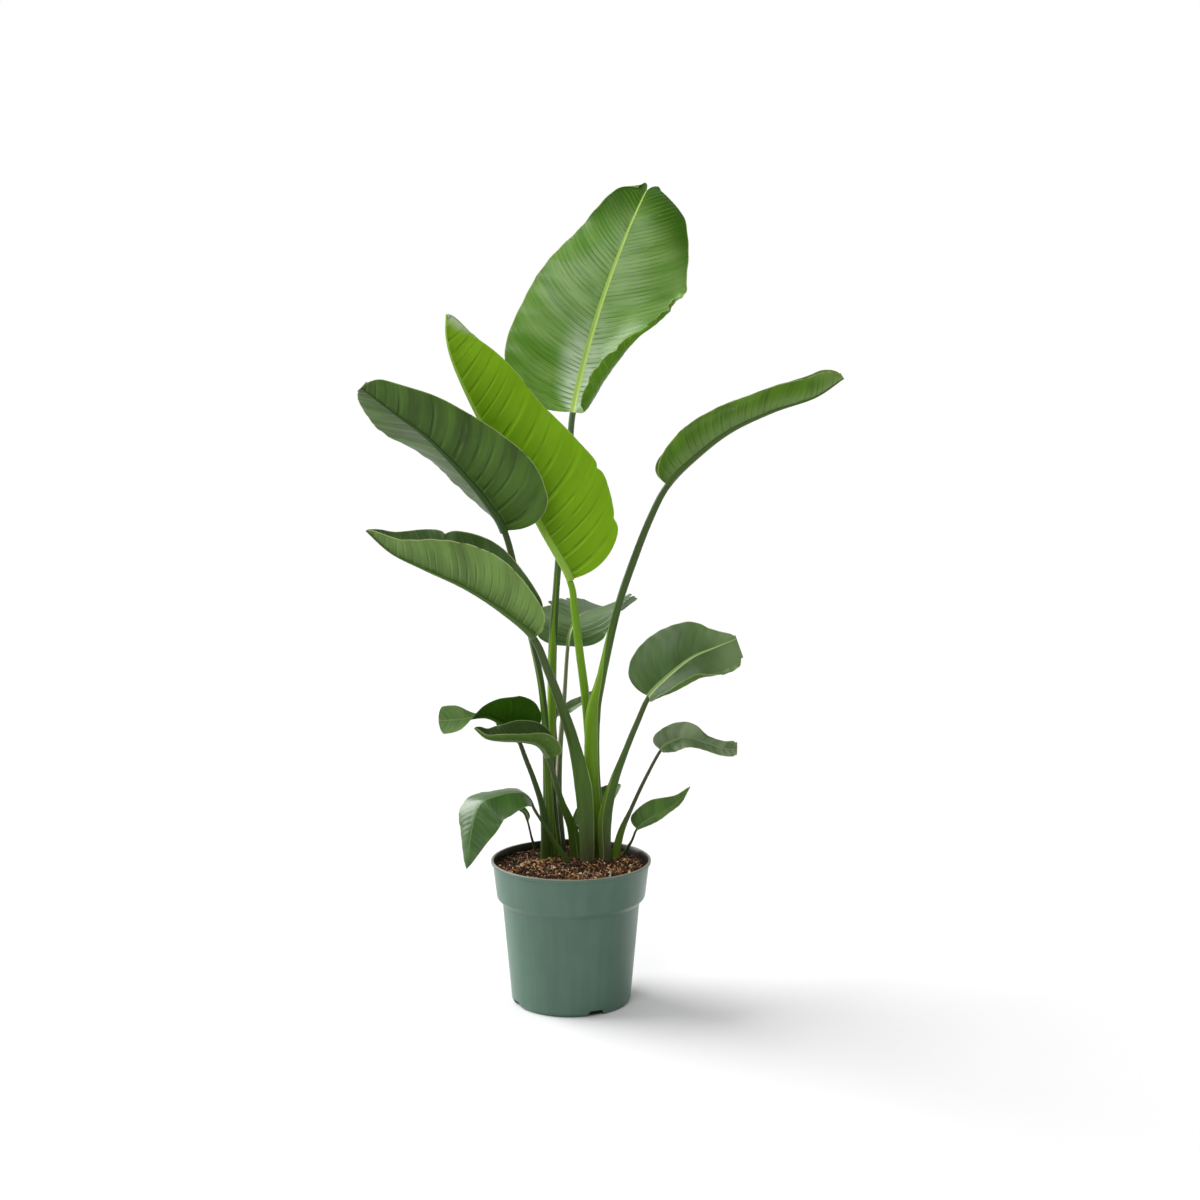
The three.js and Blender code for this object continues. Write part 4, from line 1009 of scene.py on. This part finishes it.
def half_blade(leaf, look, line, v, k, strips):
    """One half of a blade's upper sheet, from the midrib outwards, right half k = 0, left 1.
    Across, it leaves the midrib at the fold angle, turns evenly by the curl and, over its last
    strip, by the roll: out and up are running sums of the cosine and sine of that angle. Its edge
    ripples and reaches back past the joint by the lobe. Pleats are a saw-tooth of the vein
    coordinate, which runs along the midrib and falls slowly towards the edge."""
    side = 1 if k == 0 else -1
    length = line.joint + v * (line.total - line.joint)
    along = line.along(length)
    facing = run(leaf["faces"], v)
    facing = unit(facing - np.sum(facing * along, 1)[:, None] * along)
    across = np.cross(along, facing)
    rib = leaf.get("rib_radius", leaf["wide"][-1]) * (1 - RIB_TAPER * v)
    keel = RIB_SINK * rib
    origin = line.place(length) + facing * ((keel + BLADE_THICKNESS) / 2)[:, None]

    base_round = np.sqrt(1 - (1 - np.minimum(v / BASE_ROUNDING, 1)) ** 2)
    tip_length = leaf.get("tip_length", TIP_ROUNDING)
    tip_round = np.sqrt(1 - (1 - np.minimum((1 - v) / tip_length, 1)) ** 2)
    width = run(leaf["half"][k], v) * base_round * np.maximum(tip_round, leaf.get("blunt", 0))
    for half, at, depth, spread in look.get("dips", []):
        if half == k:
            width = width - depth * np.exp(-np.abs((v - at) / spread) ** 1.3)
    width = np.maximum(width, rib + LEAST_MARGIN)[:, None]
    widest = max(leaf["half"][k])
    rib = rib[:, None]
    on_rib = np.linspace(0, 1, RIB_STRIPS + 1)[None, :] * rib
    off_rib = rib + (width - rib) * (1 - (1 - np.linspace(0, 1, strips + 1)[None, 1:]) ** 1.25)
    distance = np.concatenate([on_rib, off_rib], 1)
    s = distance / width
    v = v[:, None]

    fold = np.radians(run(leaf["fold"][k], v))
    curl = np.radians(run(leaf["curl"][k], v)) * base_round[:, None]
    roll = np.radians(run(look.get("roll", ([0], [0]))[k], v)) * np.minimum(v / 0.05, 1)
    uneven = 0.18 * np.sin(34 * v + 1) + 0.14 * np.sin(83 * v) + 0.08 * np.sin(171 * v)
    roll = roll * (1 + look.get("ragged", 0) * uneven)
    strip = np.minimum(ROLL_WIDTH, 0.4 * width)
    rolled = np.clip((distance - width + strip) / strip, 0, 1)
    angle = fold + curl * s + roll * rolled**2 * (3 - 2 * rolled)
    height, count, first = leaf["wave"]
    room = np.minimum(1, 1.5 * width / widest)
    ripple = height * np.sin(2 * math.pi * count * v + first + side * 0.9) * s**3
    ripple = ripple + 0.16 * height * np.sin(2 * math.pi * count * 5.3 * v + 2 * side) * s**4
    beyond = np.maximum(0, s - rib / width)
    vein = (line.total - line.joint) * v - distance * (0.18 + 0.5 * v) - 0.16 * width * s**3
    pleat_height, spacing, swell, _ = look["pleats"]
    wander = 0.35 * np.sin(vein / 47 + side) + 0.16 * np.sin(vein / 17 + 2)
    pleat = vein / spacing + wander + 0.3 * side
    phase = pleat % 1
    crease = np.minimum(phase / 0.8, (1 - phase) / 0.2) - 0.5
    strength = 0.75 + 0.45 * np.sin(vein / 23 + 3 * side) * np.cos(distance / 31)
    waves = np.sin(vein / 7.3 + 2 * side) + 0.7 * np.sin(vein / 12.1 + 1) * np.cos(distance / 27 + side)
    fade = np.clip(beyond / 0.12, 0, 1) * (1 - 0.55 * s**2)
    lift = ripple * room + fade * (pleat_height * crease * strength + swell * waves)
    dish = -0.28 * rib * np.exp(-((distance / (0.62 * rib)) ** 2))
    step = np.diff(distance, axis=1)
    middle = (angle[:, 1:] + angle[:, :-1]) / 2
    start = np.zeros((len(v), 1))
    out = np.concatenate([start, np.cumsum(step * np.cos(middle), 1)], 1) - (lift + dish) * np.sin(angle)
    up = np.concatenate([start, np.cumsum(step * np.sin(middle), 1)], 1) + (lift + dish) * np.cos(angle)
    back = leaf["lobe"][k] * (1 - v) ** 3 * beyond**1.1 * np.minimum(1, 1.15 * width / widest)
    shift = leaf.get("notch", 0) * v**14 * (7 * s * (1 - s) - 0.8) - back
    points = (
        origin[:, None, :]
        + side * out[..., None] * across[:, None, :]
        + up[..., None] * facing[:, None, :]
        + shift[..., None] * along[:, None, :]
    )
    round_part = np.sqrt(np.maximum(0, 1 - (distance / (1.02 * rib)) ** 2))
    depth = BLADE_THICKNESS - (BLADE_THICKNESS - EDGE_THICKNESS) * s**6 + keel[:, None] * round_part
    place = np.stack([vein, side * distance, width - distance], -1)
    growth = np.stack([v + 0 * distance, distance / rib, 0 * distance], -1)
    return points, depth, place, growth, pleat[..., None]


def blade_skin(leaf, look, rows, strips):
    """The closed skin of a blade: an upper sheet of two halves that share the midrib, and a lower
    sheet below it, by the keel's round depth at the midrib and by the blade's thickness beside it.
    Each point notes its place: vein coordinate, signed distance from the midrib and distance from
    the edge; its growth: share of the length, distance in midrib radii, and 1 below; its pleat."""
    line = LeafLine(leaf)
    t = np.linspace(0, 1, rows)
    v = t - 0.1 * np.sin(2 * math.pi * t)
    halves = [half_blade(leaf, look, line, v, k, strips) for k in (0, 1)]
    upper, depth, place, growth, pleat = (
        np.concatenate([left[:, :0:-1], right], 1) for right, left in zip(*halves)
    )
    normal = unit(np.cross(np.gradient(upper, axis=0), np.gradient(upper, axis=1)))
    facing = unit(run(leaf["faces"], v))[:, None, :]
    if np.sum(normal[:, upper.shape[1] // 2] * facing[:, 0]) < 0:
        normal = -normal
    under = upper - normal * depth[..., None]
    columns = upper.shape[1]
    count = rows * columns
    faces = np.concatenate([grid_faces(rows, columns), grid_faces(rows, columns, start=count)[:, ::-1]])
    rim = np.concatenate([
        np.arange(columns),
        np.arange(1, rows) * columns + columns - 1,
        (rows - 1) * columns + np.arange(columns - 2, -1, -1),
        np.arange(rows - 2, 0, -1) * columns,
    ])
    following = np.roll(rim, -1)
    edge = np.stack([following, rim, rim + count, following + count], 1)
    notes = {
        "place": np.concatenate([place.reshape(-1, 3)] * 2),
        "growth": np.concatenate([growth.reshape(-1, 3), growth.reshape(-1, 3) + (0, 0, 1)]),
        "pleat": np.concatenate([pleat.ravel()] * 2),
    }
    points = np.concatenate([upper.reshape(-1, 3), under.reshape(-1, 3)])
    return points, np.concatenate([faces, edge]).tolist(), notes


VEIN_RESULTS = ("Bands", "Pleats", "Lines", "Height", "Across", "Fade")


def side_veins():
    """Side veins of a blade, read along the vein coordinate and only slowly across it: broad
    bands, narrow pleats and fine lines, each between 0 and 1, a height for the bump, the share
    of the way from the midrib to the edge, and a fade that comes and goes along the veins."""
    tree = bpy.data.node_groups.new("side_veins", "ShaderNodeTree")
    tree.interface.new_socket("Place", in_out="INPUT", socket_type="NodeSocketVector")
    for result in VEIN_RESULTS:
        tree.interface.new_socket(result, in_out="OUTPUT", socket_type="NodeSocketFloat")
    place = Signal(tree.nodes.new("NodeGroupInput").outputs["Place"])
    _, signed, to_edge = split(place)
    distance = reckoned("ABSOLUTE", signed)
    across = reckoned("DIVIDE", distance, distance + reckoned("MAXIMUM", to_edge, 0.1))
    patchy = stepped(noise(place, 1.0, 1, stretch=(0.045, 0.03, 0)), 0.35, 0.6, 0.15, 1.0)
    fade = patchy * stepped(across, 0.45, 0.95, 1.0, 0.2)
    bands = noise(place, 1.0, 2, stretch=(0.035, 0.006, 0))
    pleats = noise(place, 1.0, 2, stretch=(0.13, 0.009, 0))
    lines = noise(place, 1.0, 1, stretch=(0.62, 0.012, 0))
    last = tree.nodes.new("NodeGroupOutput")
    for result, signal in zip(VEIN_RESULTS, (bands, pleats, lines, lines * 0.35 + pleats, across, fade)):
        wire(signal, last.inputs[result])
    return tree


SIDE_VEINS = side_veins()


def leaf_flesh(name, look):
    """Leathery leaf: two tones of green banded along the side veins above, a duller one below
    with painted light towards the midrib, painted shade lines in the valleys of the pleats and
    painted highlight lines on their ridges, a painted grey sheen beside the midrib where a look
    asks for it, a tip colour, a pale midrib and rim, and a few dry specks."""
    material, tree, shader = new_material(name)
    upper, under = look.get("upper", (LEAF_DEEP, LEAF_MID)), look.get("under", LEAF_GREY)
    rib = look.get("rib", (RIB_GREEN, LEAF_GREY))
    place = noted(tree, "place", "Vector")
    to_edge = split(place)[2]
    share, off_rib, below = split(noted(tree, "growth", "Vector"))
    veins = tree.nodes.new("ShaderNodeGroup")
    veins.node_tree = SIDE_VEINS
    wire(place, veins.inputs["Place"])
    bands, pleats, lines, height, across, fade = (Signal(veins.outputs[result]) for result in VEIN_RESULTS)
    solid = object_place(tree)

    weight = bands * 0.5 + pleats * 0.2 + noise(solid, 14, 3) * 0.3
    tone = stepped(weight, 0.36, 0.64)
    above = mixed(tone, *upper)
    spread = look.get("spread", 0.15)
    beneath = mixed(tone, tinted(under, 1 - spread), tinted(under, 1 + spread))
    # Painted light below, towards the midrib: darker by default, painted shade along the fold; a paler
    # tone given by a leaf is a painted sheen.
    rib_side_painted_light = look.get("rib_side_painted_light", tinted(under, 0.7))
    beneath = mixed(stepped(across, 0.0, 0.7, 0.6, 0.0), beneath, rib_side_painted_light)
    # Painted sheen: a pale grey patch above, beside the midrib on the lower half of the blade, where a
    # highlight falls.
    if "painted_sheen" in look:
        painted_sheen_share = stepped(across, 0.1, 0.4, look["painted_sheen"], 0.0) * stepped(share, 0.1, 0.5, 1.0, 0.0)
        above = mixed(painted_sheen_share * stepped(pleats, 0.3, 0.6, 0.6, 1.0), above, LEAF_PAINTED_SHEEN)
    colour = mixed(below, above, beneath)
    colour = mixed(stepped(lines, 0.58, 0.76, 0.0, look.get("lines", 0.1)), colour, rib[0])
    coat = stepped(below, 0.0, 1.0, look.get("coat", 0.3), 0.0)
    if "tip" in look:
        tip, most, start, end = look["tip"]
        near_tip = stepped(share - to_edge * 0.0025, start, end, 0.0, most)
        colour = mixed(near_tip, colour, tip)
        coat = coat * reckoned("SUBTRACT", 1.0, near_tip)
    # Painted shade: dark lines in the valleys of the pleats; painted highlight: pale lines on their
    # ridges.
    _, spacing, _, crease = look["pleats"]
    painted_valley_shade = (0.0, max(0.07, 1.1 / spacing), crease, tinted(under, 0.3))
    painted_ridge_highlight = (0.2, max(0.11, 1.5 / spacing), 0.65 * crease, tinted(under, 1.7, 0.01))
    for at, reach, most, shade in (painted_valley_shade, painted_ridge_highlight):
        off = reckoned("ABSOLUTE", reckoned("FRACT", noted(tree, "pleat") + (0.5 + at)) - 0.5)
        colour = mixed(stepped(off, 0.0, reach, most, 0.0) * fade, colour, shade)

    rib_edge = look.get("rib_width", 1.0)
    near_rib = stepped(off_rib, 0.8 * rib_edge, 1.15 * rib_edge, 1.0, 0.0)
    colour = mixed(near_rib, colour, mixed(below, *rib))
    rim = mixed(stepped(noise(solid, 45, 3), 0.58, 0.66), RIM_PALE, RIM_BROWN)
    colour = mixed(stepped(to_edge, 0.4, 1.8, look.get("rim", 0.6), 0.0), colour, rim)
    specks = node_fed("TexVoronoi", solid)
    specks.inputs["Scale"].default_value = 38
    speck = stepped(Signal(specks.outputs["Distance"]), 0.03, 0.055, 0.45, 0.0)
    colour = mixed(speck * stepped(noise(solid, 11, 2), 0.56, 0.62), colour, BLEMISH)

    surfaced(shader, colour, stepped(weight, 0.35, 0.65, 0.34, 0.44), look.get("gloss", 0.15))
    shader.inputs["Coat Roughness"].default_value = 0.32
    wire(coat, shader.inputs["Coat Weight"])
    bumped(shader, height, 0.5, 0.8 * MM)

    through = node_fed("BsdfTranslucent", mixed(0.5, colour, LIGHT_THROUGH))
    both = node_fed("MixShader", look["glow"], Signal(shader.outputs[0]), Signal(through.outputs[0]))
    wire(Signal(both.outputs[0]), tree.nodes["Material Output"].inputs["Surface"])
    return material


for name, leaf in LEAVES.items():
    look = BLADE_LOOKS[name]
    broad = max(map(max, leaf["half"])) > BROAD_HALF
    rows, strips = BROAD_BLADE_GRID if broad else NARROW_BLADE_GRID
    points, faces, notes = blade_skin(leaf, look, rows, strips)
    blade = add_piece(f"leaf_{name}", points, faces, notes=notes)
    blade.data.set_sharp_from_angle(angle=math.radians(60))
    blade.data.materials.append(leaf_flesh(f"leaf_{name}", look))
    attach(blade, "root")
    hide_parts(f"blade_{name}")


# ---- Floor and studio ----
# A plain white floor in a white studio: a broad soft key light from the left and a little
# behind, a soft box high in front, bright walls and ceiling, and a dim room behind the camera.
FLOOR_REACH = 60
FLOOR_WHITE = (0.8, 0.8, 0.8)
KEY_FROM = (-1.0, 0.38, 0.64)
KEY_STRENGTH = 4.3
KEY_SPREAD = 55
BOX_PLACE = (-0.9, -2.6, 2.5)
BOX_AIM = (0.0, 0.0, 0.85)
BOX_SIZE = 1.5
BOX_POWER = 4
BOX_SPREAD = 55
ROOM_BRIGHT = 0.64
ROOM_DIM = 0.1


def studio_floor():
    """One wide level face with a plain white finish."""
    corners = [(-1, -1, 0), (1, -1, 0), (1, 1, 0), (-1, 1, 0)]
    mesh = bpy.data.meshes.new("floor")
    mesh.from_pydata([tuple(FLOOR_REACH * c for c in corner) for corner in corners], [], [(0, 1, 2, 3)])
    material, _, shader = new_material("floor_white")
    surfaced(shader, FLOOR_WHITE, 1.0, 0.0)
    mesh.materials.append(material)
    return in_scene("floor", mesh)


def studio_light(name, kind, towards, power):
    """A light that shines from a direction, given as a vector from what it lights."""
    light = in_scene(name, bpy.data.lights.new(name, kind))
    light.data.energy = power
    light.rotation_mode = "QUATERNION"
    light.rotation_quaternion = Vector(towards).to_track_quat("Z", "Y")
    return light


studio_floor()

key = studio_light("key_left", "SUN", KEY_FROM, KEY_STRENGTH)
key.data.angle = math.radians(KEY_SPREAD)

box = studio_light("soft_box_front", "AREA", Vector(BOX_PLACE) - Vector(BOX_AIM), BOX_POWER)
box.data.size = BOX_SIZE
box.data.spread = math.radians(BOX_SPREAD)
box.location = BOX_PLACE
box.visible_camera = False

world = bpy.data.worlds.new("studio")
bpy.context.scene.world = world
world.use_nodes = True
tree = world.node_tree
room = tree.nodes["Background"]
_, y, z = split(Signal(tree.nodes.new("ShaderNodeTexCoord").outputs["Generated"]))
wire(stepped(z * 0.9 + y * 0.7, -0.7, 0.5, ROOM_DIM, ROOM_BRIGHT), room.inputs["Strength"])
room.inputs["Color"].default_value = (1, 1, 1, 1)
seen = tree.nodes.new("ShaderNodeBackground")
seen.inputs["Color"].default_value = (1, 1, 1, 1)
by_camera = Signal(tree.nodes.new("ShaderNodeLightPath").outputs["Is Camera Ray"])
either = node_fed("MixShader", by_camera, Signal(room.outputs[0]), Signal(seen.outputs[0]))
wire(Signal(either.outputs[0]), tree.nodes["World Output"].inputs["Surface"])
bpy.context.scene.view_settings.view_transform = "Standard"
